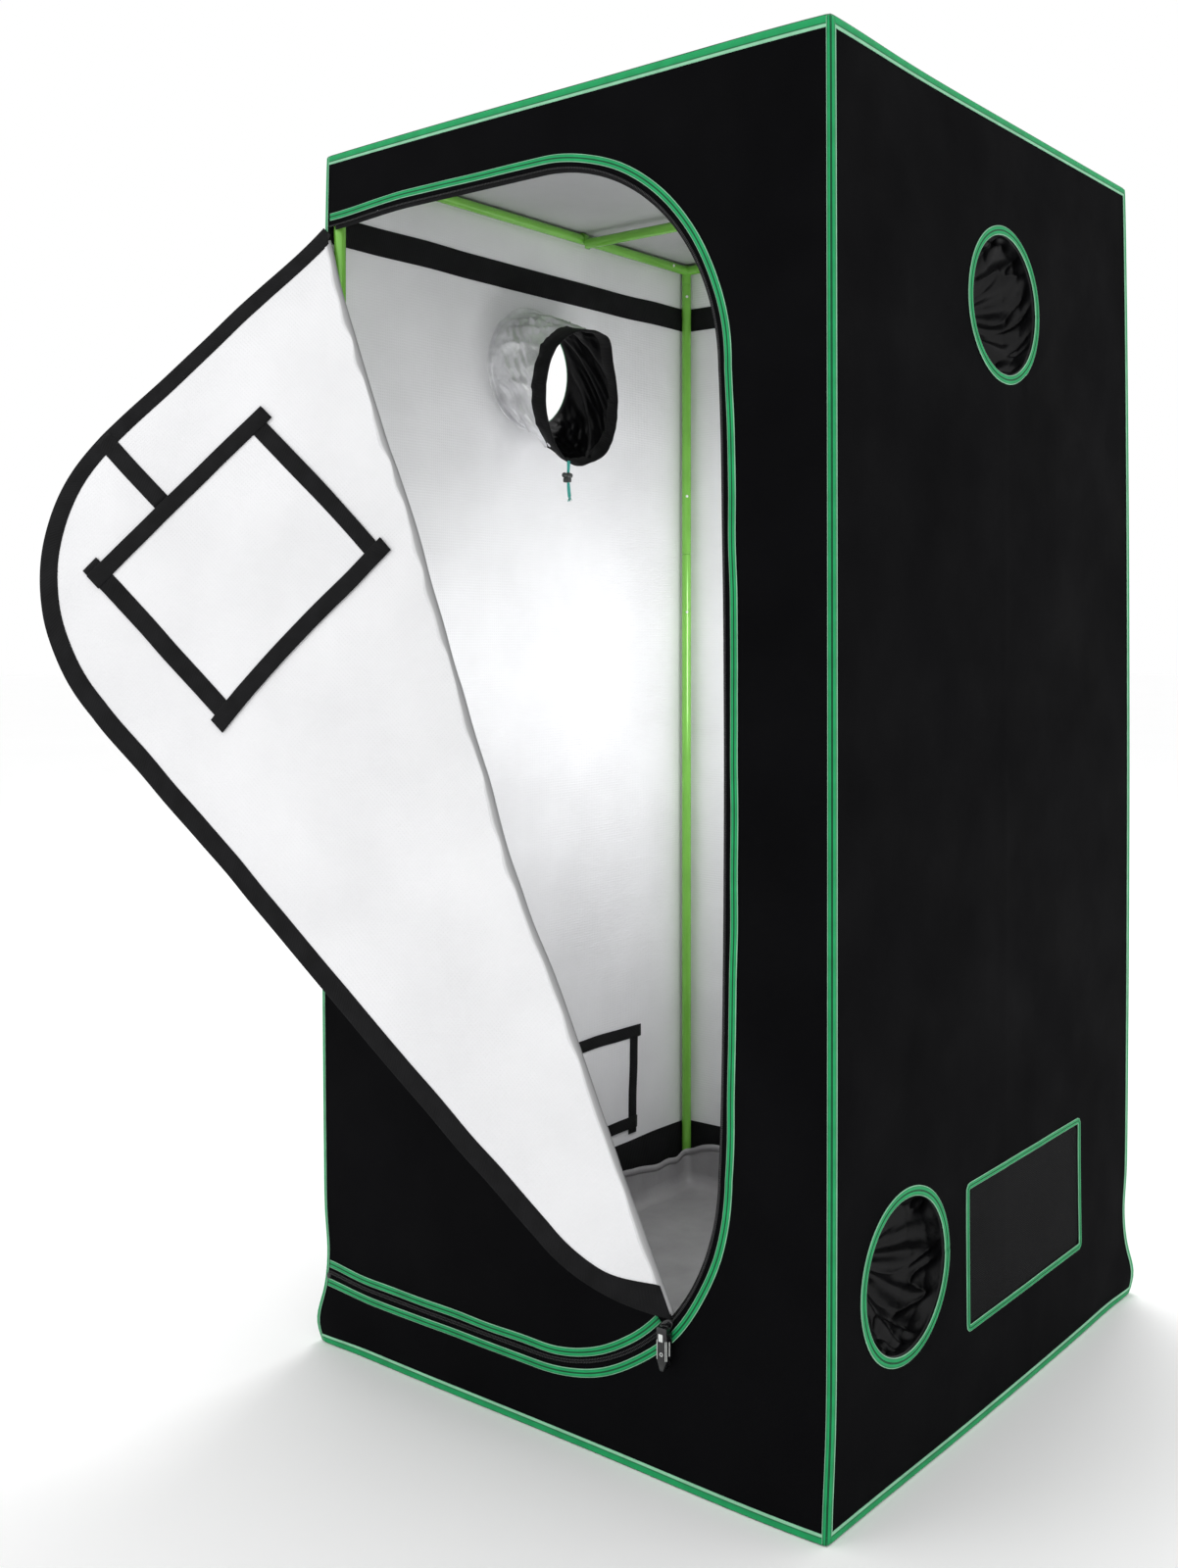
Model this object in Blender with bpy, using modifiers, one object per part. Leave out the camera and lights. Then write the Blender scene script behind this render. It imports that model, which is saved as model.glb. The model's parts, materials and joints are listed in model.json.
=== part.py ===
"""Indoor grow tent, 0.8 m square and 1.6 m tall.

A frame of steel poles plugs onto eight three-way corner fittings and carries a hanging
bar. A fabric cover with bound edges goes round it. The zipped front door stands folded
open along a slanting line. The side walls have round ports with drawstring sleeves and low
vents with inner covers, and a loose tray lines the floor.

The origin is the centre of the footprint on the ground: X to the right seen from the front,
Y from the front to the back, Z up. Lengths are in metres.
"""

import math

import bmesh
import bpy
import numpy as np
from mathutils import Matrix, Vector

# Driving dimensions of the tent
TENT_WIDTH = 0.8
TENT_DEPTH = 0.8
TENT_HEIGHT = 1.6
FABRIC = 0.0015
GAP = 0.0003
OVERRUN = 0.01

# Poles, corner fittings, snap buttons and the hanging bar
POLE_RADIUS = 0.008
POLE_WALL = 0.0008
SPIGOT_WALL = 0.001
HOOK_THICKNESS = 0.002
HOOK_WIDTH = 0.01
FITTING_ARM = 0.024
SPIGOT_LENGTH = 0.036
BUTTON_RADIUS = 0.0025
BUTTON_RISE = 0.0012
BUTTON_DISTANCE = 0.046
BUTTON_POCKET_FLOOR = 0.001
SPLICE_HEIGHT = 1.0945
SPLICE_REACH = 0.1205
SPLICE_BUTTON_DISTANCE = 0.1005
BAR_DROP = 0.008
BAR_FROM_FRONT = 0.513
BAR_HOOK_LIP = math.radians(30)
PIPE_SIDES = 12
BUTTON_SIDES = 8

# Edge binding and inner webbing
BINDING_WIDTH = 0.0065
BINDING_THICKNESS = 0.0008
BINDING_ROUND = 0.0004
WEB_THICKNESS = 0.001
UPPER_BAND_DROP = 0.078
UPPER_BAND_WIDTH = 0.0385
LOWER_BAND_BOTTOM = 0.046
LOWER_BAND_WIDTH = 0.06

# Door, its zip and the slanting fold
ZIP_TOP_DROP = 0.088
ZIP_RIGHT_MARGIN = 0.143
ZIP_BOTTOM = 0.09
ZIP_CORNER_RADIUS = 0.266
ZIP_HALF_GAP = 0.001
ZIP_BAND_INSET = 0.0072
ZIP_BAND_WIDTH = 0.0095
ARC_STEPS = 24
FOLD_DROP = 0.027
FOLD_END_ANGLE = math.radians(-40.5)
DOOR_OPEN_ANGLE = math.radians(150.5)
HINGE_PROUD = 0.001
ROLL_RADIUS = 0.003
ROLL_SIDES = 10
TIP_CUT = 0.014
BAND_SETBACK = 0.02

# Zip slider and its pull
SLIDER_LENGTH = 0.02
SLIDER_WIDTH = 0.013
SLIDER_PLATE = 0.002
SLIDER_NECK = 0.0012
SLIDER_STEP = 0.0135
BAIL_RADIUS = 0.0012
BAIL_LENGTH = 0.014
BAIL_STANDOFF = 0.0035
LUG_THICKNESS = 0.002
PULL_WIDTH = 0.0135
PULL_LENGTH = 0.046
PULL_THICKNESS = 0.004
PULL_DEPTH = 0.0115
PULL_BODY_DROP = 0.005
PULL_BODY_INSIDE = 0.003
PULL_POINT = 0.011
PULL_BEVEL = 0.0012
PULL_EYE_WIDTH = 0.0088

# Window in the door and its inner cover
WINDOW_LEFT = 0.256
WINDOW_RIGHT = 0.52
WINDOW_DROP = 0.246
WINDOW_HEIGHT = 0.238
WINDOW_CORNER = 0.012
WINDOW_LAP = 0.024
EAR_LENGTH = 0.008
EAR_WIDTH = 0.024
STRAP_WIDTH = 0.024
STRAP_CENTRE = 0.409
STRAP_CLEARANCE = 0.0015

# Round ports and their sleeves
PORT_RADIUS = 0.0885
PORT_RING_WIDTH = 0.0125
PORT_SIDES = 24
TOP_PORT_FROM_FRONT = 0.405
TOP_PORT_DROP = 0.234
LOW_PORT_FROM_FRONT = 0.155
LOW_PORT_HEIGHT = 0.2335
SLEEVE_LENGTH = 0.1
SLEEVE_DROOP = 0.055
DRAWN_LENGTH = 0.078
PLEAT_DEPTH = 0.006
CORD_DIAMETER = 0.003
CORD_LENGTH = 0.056
CORD_EXIT_SHARE = 0.6875
CORD_CLEARANCE = 0.001
LOCK_RADIUS = 0.0065
LOCK_LENGTH = 0.015
LOCK_DROP = 0.018
LOCK_LOBE_RADIUS = 0.004

# Low vents and their inner covers
VENT_FRONT = 0.296
VENT_BACK = 0.632
VENT_BOTTOM = 0.119
VENT_TOP = 0.297
VENT_BINDING = 0.009
VENT_CORNER = 0.006
VENT_COVER_FRONT_LAP = 0.021
VENT_COVER_BACK_LAP = 0.034
VENT_COVER_BOTTOM = 0.1255
VENT_COVER_TOP = 0.299
VENT_EAR_WIDTH = 0.02

# Floor tray
TRAY_HEIGHT = 0.066

# Places worked out from the dimensions above
HALF_WIDTH = TENT_WIDTH / 2
HALF_DEPTH = TENT_DEPTH / 2
POLE_INSET = FABRIC + 2 * GAP + HOOK_THICKNESS + POLE_RADIUS
POLE_X = HALF_WIDTH - POLE_INSET
POLE_Y = HALF_DEPTH - POLE_INSET
RAIL_TOP_Z = TENT_HEIGHT - POLE_INSET
RAIL_LOW_Z = POLE_INSET
HUB_RADIUS = POLE_INSET - FABRIC - GAP
SPIGOT_RADIUS = POLE_RADIUS - POLE_WALL - GAP
BINDING_FACE = GAP + BINDING_THICKNESS
ZIP_TOP = TENT_HEIGHT - ZIP_TOP_DROP
ZIP_RIGHT = TENT_WIDTH - ZIP_RIGHT_MARGIN
ARC_X = ZIP_RIGHT - ZIP_CORNER_RADIUS
LOW_ARC_Z = ZIP_BOTTOM + ZIP_CORNER_RADIUS
TOP_ARC_Z = ZIP_TOP - ZIP_CORNER_RADIUS
DOOR_LEFT = BINDING_WIDTH + ZIP_HALF_GAP
WINDOW_TOP = TENT_HEIGHT - WINDOW_DROP
WINDOW_BOTTOM = WINDOW_TOP - WINDOW_HEIGHT
TOP_PORT_HEIGHT = TENT_HEIGHT - TOP_PORT_DROP
UPPER_BAND_TOP = TENT_HEIGHT - UPPER_BAND_DROP

# Fold line on the front wall, as (x, z) measured from the tent's lower left corner
FOLD_START = Vector((DOOR_LEFT, ZIP_TOP - FOLD_DROP))
FOLD_END = Vector(
    (
        ARC_X + ZIP_CORNER_RADIUS * math.cos(FOLD_END_ANGLE),
        LOW_ARC_Z + ZIP_CORNER_RADIUS * math.sin(FOLD_END_ANGLE),
    )
)
FOLD_LENGTH = (FOLD_END - FOLD_START).length
FOLD_ALONG = (FOLD_END - FOLD_START).normalized()
FOLD_ACROSS = Vector((-FOLD_ALONG.y, FOLD_ALONG.x))

# Colours, roughness and metallic of each finish
FINISHES = {
    "outer_fabric": ((0.012, 0.012, 0.013), 0.75, 0.0),
    "inner_fabric": ((0.86, 0.86, 0.88), 0.4, 0.0),
    "green_binding": ((0.03, 0.3, 0.12), 0.6, 0.0),
    "green_pole": ((0.2, 0.6, 0.06), 0.3, 0.2),
    "black_webbing": ((0.015, 0.015, 0.017), 0.8, 0.0),
    "black_zip": ((0.01, 0.01, 0.011), 0.2, 0.3),
    "vent_mesh": ((0.02, 0.02, 0.021), 0.8, 0.0),
    "grey_tray": ((0.2, 0.2, 0.21), 0.45, 0.0),
    "clear_film": ((0.35, 0.38, 0.38), 0.15, 0.0),
    "teal_cord": ((0.02, 0.42, 0.36), 0.6, 0.0),
    "lock_plastic": ((0.03, 0.035, 0.035), 0.35, 0.0),
}


def clear_scene():
    for old in list(bpy.data.objects):
        bpy.data.objects.remove(old, do_unlink=True)


def new_collection(name):
    made = bpy.data.collections.new(name)
    bpy.context.scene.collection.children.link(made)
    return made


def make_finishes():
    made = {}
    for name, (colour, roughness, metallic) in FINISHES.items():
        finish = bpy.data.materials.new(name)
        finish.use_nodes = True
        shader = finish.node_tree.nodes["Principled BSDF"]
        shader.inputs["Base Color"].default_value = (*colour, 1.0)
        shader.inputs["Roughness"].default_value = roughness
        shader.inputs["Metallic"].default_value = metallic
        finish.diffuse_color = (*colour, 1.0)
        made[name] = finish
    return made


clear_scene()
PARTS = new_collection("indoor_grow_tent")
CUTTERS = new_collection("cutters")
FINISH = make_finishes()


def put(name, data, finish=None, matrix=None, parent=None):
    """An object in the parts, or among the cutters where it has no finish."""
    made = bpy.data.objects.new(name, data)
    if finish:
        data.materials.append(FINISH[finish])
        PARTS.objects.link(made)
    else:
        CUTTERS.objects.link(made)
        made.hide_render = True
        made.display_type = "WIRE"
    if parent:
        made.parent = parent
    if matrix is not None:
        made.matrix_local = matrix
    return made


def mesh_from(name, build):
    """A mesh that the function build fills through a bmesh."""
    work = bmesh.new()
    build(work)
    data = bpy.data.meshes.new(name)
    work.to_mesh(data)
    work.free()
    return data


def box_mesh(name, low, high):
    low, high = Vector(low), Vector(high)
    size = high - low
    stretch = Matrix.Diagonal((*size, 1.0))
    place = Matrix.Translation((low + high) / 2) @ stretch
    return mesh_from(name, lambda work: bmesh.ops.create_cube(work, size=1.0, matrix=place))


def rod_mesh(name, radius, length, sides, matrix=Matrix()):
    """A solid cylinder from the origin along +Z, then moved by the matrix."""
    place = matrix @ Matrix.Translation((0, 0, length / 2))

    def build(work):
        bmesh.ops.create_cone(
            work,
            cap_ends=True,
            segments=sides,
            radius1=radius,
            radius2=radius,
            depth=length,
            matrix=place,
        )

    return smooth(mesh_from(name, build))


def ball_mesh(name, radius, sides, matrix=Matrix()):
    def build(work):
        bmesh.ops.create_uvsphere(
            work, u_segments=sides, v_segments=sides // 2, radius=radius, matrix=matrix
        )

    return smooth(mesh_from(name, build))


def smooth(data):
    data.shade_smooth()
    data.set_sharp_from_angle(angle=math.radians(40))
    return data


def cut(target, cutter, operation="DIFFERENCE"):
    change = target.modifiers.new(cutter.name, "BOOLEAN")
    change.operation = operation
    change.object = cutter
    change.solver = "EXACT"


def fused(name, meshes, finish, matrix=None, parent=None, cutters=()):
    """One closed body: the union of overlapping meshes, less the cutters."""
    helpers = [put(f"{name}_{i}", data) for i, data in enumerate(meshes)]
    holes = [put(f"{name}_hole_{i}", data) for i, data in enumerate(cutters)]
    for helper in helpers[1:]:
        cut(helpers[0], helper, "UNION")
    for hole in holes:
        cut(helpers[0], hole)
    bpy.context.view_layer.update()
    seen = helpers[0].evaluated_get(bpy.context.evaluated_depsgraph_get())
    data = bpy.data.meshes.new_from_object(seen)
    data.materials.clear()
    for helper in helpers + holes:
        bpy.data.objects.remove(helper, do_unlink=True)
    return put(name, smooth(data), finish, matrix, parent)


def outline_curve(name, outlines, thickness):
    """A flat sheet in the XY plane: the first outline less the others, centred on z = 0."""
    curve = bpy.data.curves.new(name, "CURVE")
    curve.dimensions = "2D"
    curve.fill_mode = "BOTH"
    curve.extrude = thickness / 2
    for points in outlines:
        spline = curve.splines.new("POLY")
        spline.points.add(len(points[1:]))
        for point, (x, y) in zip(spline.points, points):
            point.co = (x, y, 0, 1)
        spline.use_cyclic_u = True
    return curve


def sheet_mesh(name, outlines, thickness):
    """The flat sheet as a mesh with its caps welded, ready for a Boolean."""
    guide = put(name, outline_curve(name, outlines, thickness))
    bpy.context.view_layer.update()
    seen = guide.evaluated_get(bpy.context.evaluated_depsgraph_get())
    data = bpy.data.meshes.new_from_object(seen)
    bpy.data.objects.remove(guide, do_unlink=True)
    work = bmesh.new()
    work.from_mesh(data)
    bmesh.ops.remove_doubles(work, verts=work.verts, dist=GAP / 10)
    bmesh.ops.recalc_face_normals(work, faces=work.faces)
    work.to_mesh(data)
    work.free()
    return data


def turned_front():
    """Turns the XY plane to stand as the front wall does."""
    return Matrix(((1, 0, 0), (0, 0, -1), (0, 1, 0))).to_4x4()


def front_plane(depth):
    """Carries (x, z) of the front wall to the tent, depth metres behind the outer face."""
    return Matrix.Translation((-HALF_WIDTH, -HALF_DEPTH + depth, 0)) @ turned_front()


def side_plane(side, depth):
    """Carries (y, z) of a side wall to the tent; side is +1 right or -1 left."""
    turned = Matrix(((0, 0, 1), (1, 0, 0), (0, 1, 0))).to_4x4()
    return Matrix.Translation((side * (HALF_WIDTH - depth), -HALF_DEPTH, 0)) @ turned


def rectangle(left, bottom, right, top):
    return [(left, bottom), (right, bottom), (right, top), (left, top)]


def arc(centre, radius, start, end, steps):
    angles = np.linspace(start, end, steps + 1)
    return [(centre[0] + radius * math.cos(a), centre[1] + radius * math.sin(a)) for a in angles]


def rounded_rectangle(left, bottom, right, top, radius, steps=3):
    corners = (
        ((right - radius, top - radius), 0),
        ((left + radius, top - radius), 1),
        ((left + radius, bottom + radius), 2),
        ((right - radius, bottom + radius), 3),
    )
    points = []
    for centre, quarter in corners:
        start = quarter * math.pi / 2
        points += arc(centre, radius, start, start + math.pi / 2, steps)
    return points


def eared_rectangle(left, bottom, right, top, ear, width, hanging=False):
    """Crossed webbing strips whose ends overhang: sideways, or downwards at the foot."""
    if hanging:
        foot = [
            (left, bottom - ear),
            (left + width, bottom - ear),
            (left + width, bottom),
            (right - width, bottom),
            (right - width, bottom - ear),
            (right, bottom - ear),
        ]
    else:
        foot = [
            (left, bottom + width),
            (left - ear, bottom + width),
            (left - ear, bottom),
            (right + ear, bottom),
            (right + ear, bottom + width),
            (right, bottom + width),
        ]
    return foot + [
        (right, top - width),
        (right + ear, top - width),
        (right + ear, top),
        (left - ear, top),
        (left - ear, top - width),
        (left, top - width),
    ]


def zip_line(offset, left=0.0, low_from=-math.pi / 2, high_to=math.pi / 2):
    """The D of the zip, offset outwards: low straight, low arc, high arc, top straight.

    low_from trims its lower end to a point of the low arc.
    """
    radius = ZIP_CORNER_RADIUS + offset
    points = []
    if low_from == -math.pi / 2:
        points.append((left, ZIP_BOTTOM - offset))
    points += arc((ARC_X, LOW_ARC_Z), radius, low_from, 0, ARC_STEPS)
    points += arc((ARC_X, TOP_ARC_Z), radius, 0, high_to, ARC_STEPS)
    points.append((left, ZIP_TOP + offset))
    return points


def fold_point(along, across):
    """A point of the front wall, as (x, z), by its place along and across the fold line."""
    return tuple(FOLD_START + FOLD_ALONG * along + FOLD_ACROSS * across)


def make_turned(name, profile, sides, finish, matrix):
    """A closed profile of (radius, height), outer side first from the top, turned about Z."""
    data = bpy.data.meshes.new(name)
    points = [(radius, 0, height) for radius, height in profile]
    edges = [(i, (i + 1) % len(points)) for i in range(len(points))]
    data.from_pydata(points, edges, [])
    made = put(name, data, finish, matrix)
    turn = made.modifiers.new("turn", "SCREW")
    turn.steps = turn.render_steps = sides
    turn.use_merge_vertices = True
    turn.merge_threshold = GAP / 10
    turn.use_smooth_shade = True
    return made


def make_pole(name, length, matrix, holes, spigot=False):
    """A steel tube from the origin along +Z with holes for the spring buttons.

    A spigot is crimped in its far end: a narrower tube that the next pole slides over.
    """
    inner = POLE_RADIUS - POLE_WALL
    if spigot:
        bore = SPIGOT_RADIUS - SPIGOT_WALL
        profile = [
            (SPIGOT_RADIUS, length + SPLICE_REACH),
            (SPIGOT_RADIUS, length),
            (POLE_RADIUS, length),
            (POLE_RADIUS, 0),
            (inner, 0),
            (inner, length - SPLICE_REACH),
            (bore, length - SPLICE_REACH),
            (bore, length + SPLICE_REACH),
        ]
    else:
        profile = [(POLE_RADIUS, length), (POLE_RADIUS, 0), (inner, 0), (inner, length)]
    pole = make_turned(name, profile, PIPE_SIDES, "green_pole", matrix)
    for i, (height, angle) in enumerate(holes):
        drill = button_matrix(height, angle)
        hole = put(
            f"{name}_hole_{i}",
            rod_mesh(name, BUTTON_RADIUS + GAP, POLE_RADIUS + OVERRUN, BUTTON_SIDES, drill),
            matrix=matrix,
        )
        cut(pole, hole)
    return pole


def button_matrix(height, angle):
    """Lays a rod from the tube's axis outwards, at a height and an angle about the axis."""
    turned = Matrix.Rotation(angle, 4, "Z") @ Matrix.Rotation(math.pi / 2, 4, "Y")
    return Matrix.Translation((0, 0, height)) @ turned


def along(direction):
    """Turns +Z to a direction, keeping X inwards where it can."""
    return Vector((0, 0, 1)).rotation_difference(Vector(direction)).to_matrix().to_4x4()


def inward_angle(matrix, inward):
    """The angle about the pole's own axis at which the inward direction lies."""
    local = matrix.to_3x3().inverted() @ Vector(inward)
    return math.atan2(local.y, local.x)


def make_fitting(name, corner):
    """A three-way fitting: a ball, three arms with spigots, and a snap button on each.

    One button, at the top of the back left post, is a piece of its own in a pocket.
    """
    side, depth, level = corner
    centre = Matrix.Translation((side * POLE_X, depth * POLE_Y, rail_height(level)))
    pieces = [ball_mesh(name, HUB_RADIUS, PIPE_SIDES)]
    pockets = []
    for i, direction in enumerate(((-side, 0, 0), (0, -depth, 0), (0, 0, -level))):
        roll = Matrix.Rotation(i * 2 * math.pi / (3 * PIPE_SIDES), 4, "Z")
        turned = along(direction) @ roll
        inward = button_side(direction, corner)
        angle = inward_angle(turned, inward)
        pieces.append(rod_mesh(name, POLE_RADIUS, FITTING_ARM, PIPE_SIDES, turned))
        halfway = turned @ Matrix.Translation((0, 0, FITTING_ARM / 2))
        reach = FITTING_ARM / 2 + SPIGOT_LENGTH
        pieces.append(rod_mesh(name, SPIGOT_RADIUS, reach, PIPE_SIDES, halfway))
        button = turned @ button_matrix(BUTTON_DISTANCE, angle)
        rise = POLE_RADIUS + BUTTON_RISE
        if corner == LOOSE_BUTTON_CORNER and direction[2]:
            floor = button @ Matrix.Translation((0, 0, BUTTON_POCKET_FLOOR))
            bore = BUTTON_RADIUS + GAP
            pockets.append(rod_mesh(name, bore, POLE_RADIUS, BUTTON_SIDES, floor))
            make_snap_button(centre @ button, rise)
        else:
            pieces.append(rod_mesh(name, BUTTON_RADIUS, rise, BUTTON_SIDES, button))
    fused(name, pieces, "green_pole", centre, cutters=pockets)


def make_snap_button(matrix, rise):
    """A button that sinks until its head is level with the spigot, its origin on its axis."""
    travel = rise - SPIGOT_RADIUS
    start = BUTTON_POCKET_FLOOR + travel + GAP
    place = Matrix.Translation((0, 0, start))
    rod = rod_mesh("snap_button", BUTTON_RADIUS, rise - start, BUTTON_SIDES, place)
    put("snap_button_back_left", rod, "green_pole", matrix)


def rail_height(level):
    return RAIL_TOP_Z if level > 0 else RAIL_LOW_Z


def button_side(direction, corner):
    """Buttons face into the tent: sideways on rails, to the middle on posts."""
    side, depth, _ = corner
    if abs(direction[2]):
        return Vector((-side, -depth, 0)).normalized()
    if abs(direction[0]):
        return Vector((0, -depth, 0))
    return Vector((-side, 0, 0))


LOOSE_BUTTON_CORNER = (-1, 1, 1)
CORNERS = {
    "front_left": (-1, -1),
    "front_right": (1, -1),
    "back_left": (-1, 1),
    "back_right": (1, 1),
}


def make_frame():
    for place, (side, depth) in CORNERS.items():
        make_fitting(f"corner_fitting_top_{place}", (side, depth, 1))
        make_fitting(f"corner_fitting_bottom_{place}", (side, depth, -1))
        make_posts(place, side, depth)
    for level, label in ((1, "top"), (-1, "bottom")):
        for side, place in ((-1, "left"), (1, "right")):
            make_rail(f"rail_{label}_{place}", (side, 0, level))
        for depth, place in ((-1, "front"), (1, "back")):
            make_rail(f"rail_{label}_{place}", (0, depth, level))


def make_posts(place, side, depth):
    """A lower post with its crimped spigot, and an upper post that slides over it."""
    start = RAIL_LOW_Z + FITTING_ARM + GAP
    end = RAIL_TOP_Z - FITTING_ARM - GAP
    inward = Vector((-side, -depth, 0)).normalized()
    angle = math.atan2(inward.y, inward.x)
    seat = BUTTON_DISTANCE - FITTING_ARM - GAP
    lower = Matrix.Translation((side * POLE_X, depth * POLE_Y, start))
    lower_length = SPLICE_HEIGHT - start
    post = make_pole(f"post_lower_{place}", lower_length, lower, [(seat, angle)], spigot=True)
    for reach in (-SPLICE_BUTTON_DISTANCE, SPLICE_BUTTON_DISTANCE):
        stud = put(
            f"post_lower_{place}_stud_{reach > 0}",
            stud_mesh(lower_length + reach, angle),
            matrix=lower,
        )
        cut(post, stud, "UNION")
    upper_start = SPLICE_HEIGHT + GAP
    upper = Matrix.Translation((side * POLE_X, depth * POLE_Y, upper_start))
    upper_length = end - upper_start
    holes = [(SPLICE_BUTTON_DISTANCE - GAP, angle), (upper_length - seat, angle)]
    make_pole(f"post_upper_{place}", upper_length, upper, holes)


def stud_mesh(height, angle):
    """A button or crimped rivet that rises from the wall of the tube."""
    start = SPIGOT_RADIUS - SPIGOT_WALL / 2
    place = button_matrix(height, angle) @ Matrix.Translation((0, 0, start))
    rise = POLE_RADIUS + BUTTON_RISE - start
    return rod_mesh("stud", BUTTON_RADIUS, rise, BUTTON_SIDES, place)


def make_rail(name, place):
    """A rail between two fittings, along Y at a side or along X at the front or back."""
    side, depth, level = place
    reach = FITTING_ARM + GAP
    z = rail_height(level)
    seat = BUTTON_DISTANCE - FITTING_ARM - GAP
    if side:
        half = POLE_Y
        matrix = Matrix.Translation((side * POLE_X, -half + reach, z)) @ along((0, 1, 0))
        inward = Vector((-side, 0, 0))
    else:
        half = POLE_X
        matrix = Matrix.Translation((-half + reach, depth * POLE_Y, z)) @ along((1, 0, 0))
        inward = Vector((0, -depth, 0))
    length = 2 * (half - reach)
    angle = inward_angle(matrix, inward)
    make_pole(name, length, matrix, [(seat, angle), (length - seat, angle)])


def make_bar():
    """The hanging bar: a tube with a hook at each end that goes over the side rail."""
    name = "hanging_bar"
    y = -HALF_DEPTH + BAR_FROM_FRONT
    bar_z = RAIL_TOP_Z - BAR_DROP
    inner = POLE_RADIUS + GAP
    outer = inner + HOOK_THICKNESS
    half = POLE_X - inner - HOOK_THICKNESS / 2
    lift = Matrix.Translation((0, y, bar_z))
    lay = along((1, 0, 0)) @ Matrix.Rotation(math.pi / PIPE_SIDES, 4, "Z")
    start = Matrix.Translation((-half, 0, 0)) @ lay
    tube = rod_mesh(name, POLE_RADIUS, 2 * half, PIPE_SIDES, start)
    bore_start = Matrix.Translation((-half - OVERRUN, 0, 0)) @ lay
    bore_length = 2 * (half + OVERRUN)
    bore = rod_mesh(name, POLE_RADIUS - POLE_WALL, bore_length, PIPE_SIDES, bore_start)
    pipe = fused(f"{name}_pipe", [tube], None, cutters=[bore])
    pieces = [pipe.data]
    for side in (-1, 1):
        band = arc((0, 0), outer, -BAR_HOOK_LIP, math.pi, PIPE_SIDES)
        foot = -BAR_DROP - POLE_RADIUS + HOOK_THICKNESS
        band += [(-outer, foot), (-inner, foot)]
        band += arc((0, 0), inner, math.pi, -BAR_HOOK_LIP, PIPE_SIDES)
        hook = sheet_mesh(f"{name}_hook", [band], HOOK_WIDTH)
        place = Matrix.Translation((side * POLE_X, 0, BAR_DROP))
        hook.transform(place @ Matrix.Diagonal((side, 1, 1, 1)) @ turned_front())
        if side < 0:
            hook.flip_normals()
        pieces.append(hook)
    bpy.data.objects.remove(pipe, do_unlink=True)
    fused(name, pieces, "green_pole", lift)


def make_cover():
    """Six fabric panels with the door, port and vent openings cut in them."""
    inside = FABRIC + GAP
    roof = ((-HALF_WIDTH, -HALF_DEPTH, TENT_HEIGHT - FABRIC), (HALF_WIDTH, HALF_DEPTH, TENT_HEIGHT))
    put("roof_panel", box_mesh("roof_panel", *roof), "outer_fabric")
    floor = ((-HALF_WIDTH, -HALF_DEPTH, 0), (HALF_WIDTH, HALF_DEPTH, FABRIC))
    put("floor_panel", box_mesh("floor_panel", *floor), "outer_fabric")
    back = (
        (-HALF_WIDTH, HALF_DEPTH - FABRIC, inside),
        (HALF_WIDTH, HALF_DEPTH, TENT_HEIGHT - inside),
    )
    put("wall_back", box_mesh("wall_back", *back), "outer_fabric")
    low, high = FABRIC + GAP, TENT_HEIGHT - FABRIC - GAP
    frame_edge = zip_line(ZIP_HALF_GAP)
    front = [(0, low), (TENT_WIDTH, low), (TENT_WIDTH, high), (0, high)] + frame_edge[::-1]
    panel = outline_curve("wall_front", [front], FABRIC)
    put("wall_front", panel, "outer_fabric", front_plane(FABRIC / 2))
    for side, place in ((-1, "left"), (1, "right")):
        outlines = [
            rectangle(inside, low, TENT_DEPTH - inside, high),
            port_circle(TOP_PORT_FROM_FRONT, TOP_PORT_HEIGHT, PORT_RADIUS),
            vent_hole(0),
        ]
        if side > 0:
            outlines.append(port_circle(LOW_PORT_FROM_FRONT, LOW_PORT_HEIGHT, PORT_RADIUS))
        panel = outline_curve(f"wall_{place}", outlines, FABRIC)
        put(f"wall_{place}", panel, "outer_fabric", side_plane(side, FABRIC / 2))


def port_circle(from_front, height, radius):
    return arc((from_front, height), radius, 0, 2 * math.pi, PORT_SIDES)[:-1]


def vent_hole(shrink):
    inset = VENT_BINDING + shrink
    return rounded_rectangle(
        VENT_FRONT + inset, VENT_BOTTOM + inset, VENT_BACK - inset, VENT_TOP - inset, VENT_CORNER
    )


def make_edge_binding():
    """Bias tape folded round all box edges: a thin box shell with its faces cut away."""
    face = BINDING_FACE
    outer = box_mesh(
        "outer",
        (-HALF_WIDTH - face, -HALF_DEPTH - face, 0),
        (HALF_WIDTH + face, HALF_DEPTH + face, TENT_HEIGHT + face),
    )
    inner = box_mesh(
        "inner",
        (-HALF_WIDTH - GAP, -HALF_DEPTH - GAP, -OVERRUN),
        (HALF_WIDTH + GAP, HALF_DEPTH + GAP, TENT_HEIGHT + GAP),
    )
    x, y = HALF_WIDTH - BINDING_WIDTH, HALF_DEPTH - BINDING_WIDTH
    low, high = BINDING_WIDTH, TENT_HEIGHT - BINDING_WIDTH
    past_x, past_y = HALF_WIDTH + OVERRUN, HALF_DEPTH + OVERRUN
    across = box_mesh("across", (-past_x, -y, low), (past_x, y, high))
    deep = box_mesh("deep", (-x, -past_y, low), (x, past_y, high))
    up = box_mesh("up", (-x, -y, -OVERRUN), (x, y, TENT_HEIGHT + OVERRUN))
    binding = fused("edge_binding", [outer], "green_binding", cutters=[inner, across, deep, up])
    round_off = binding.modifiers.new("round", "BEVEL")
    round_off.width = BINDING_ROUND
    round_off.segments = 1
    round_off.limit_method = "ANGLE"
    round_off.angle_limit = math.radians(60)


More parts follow.
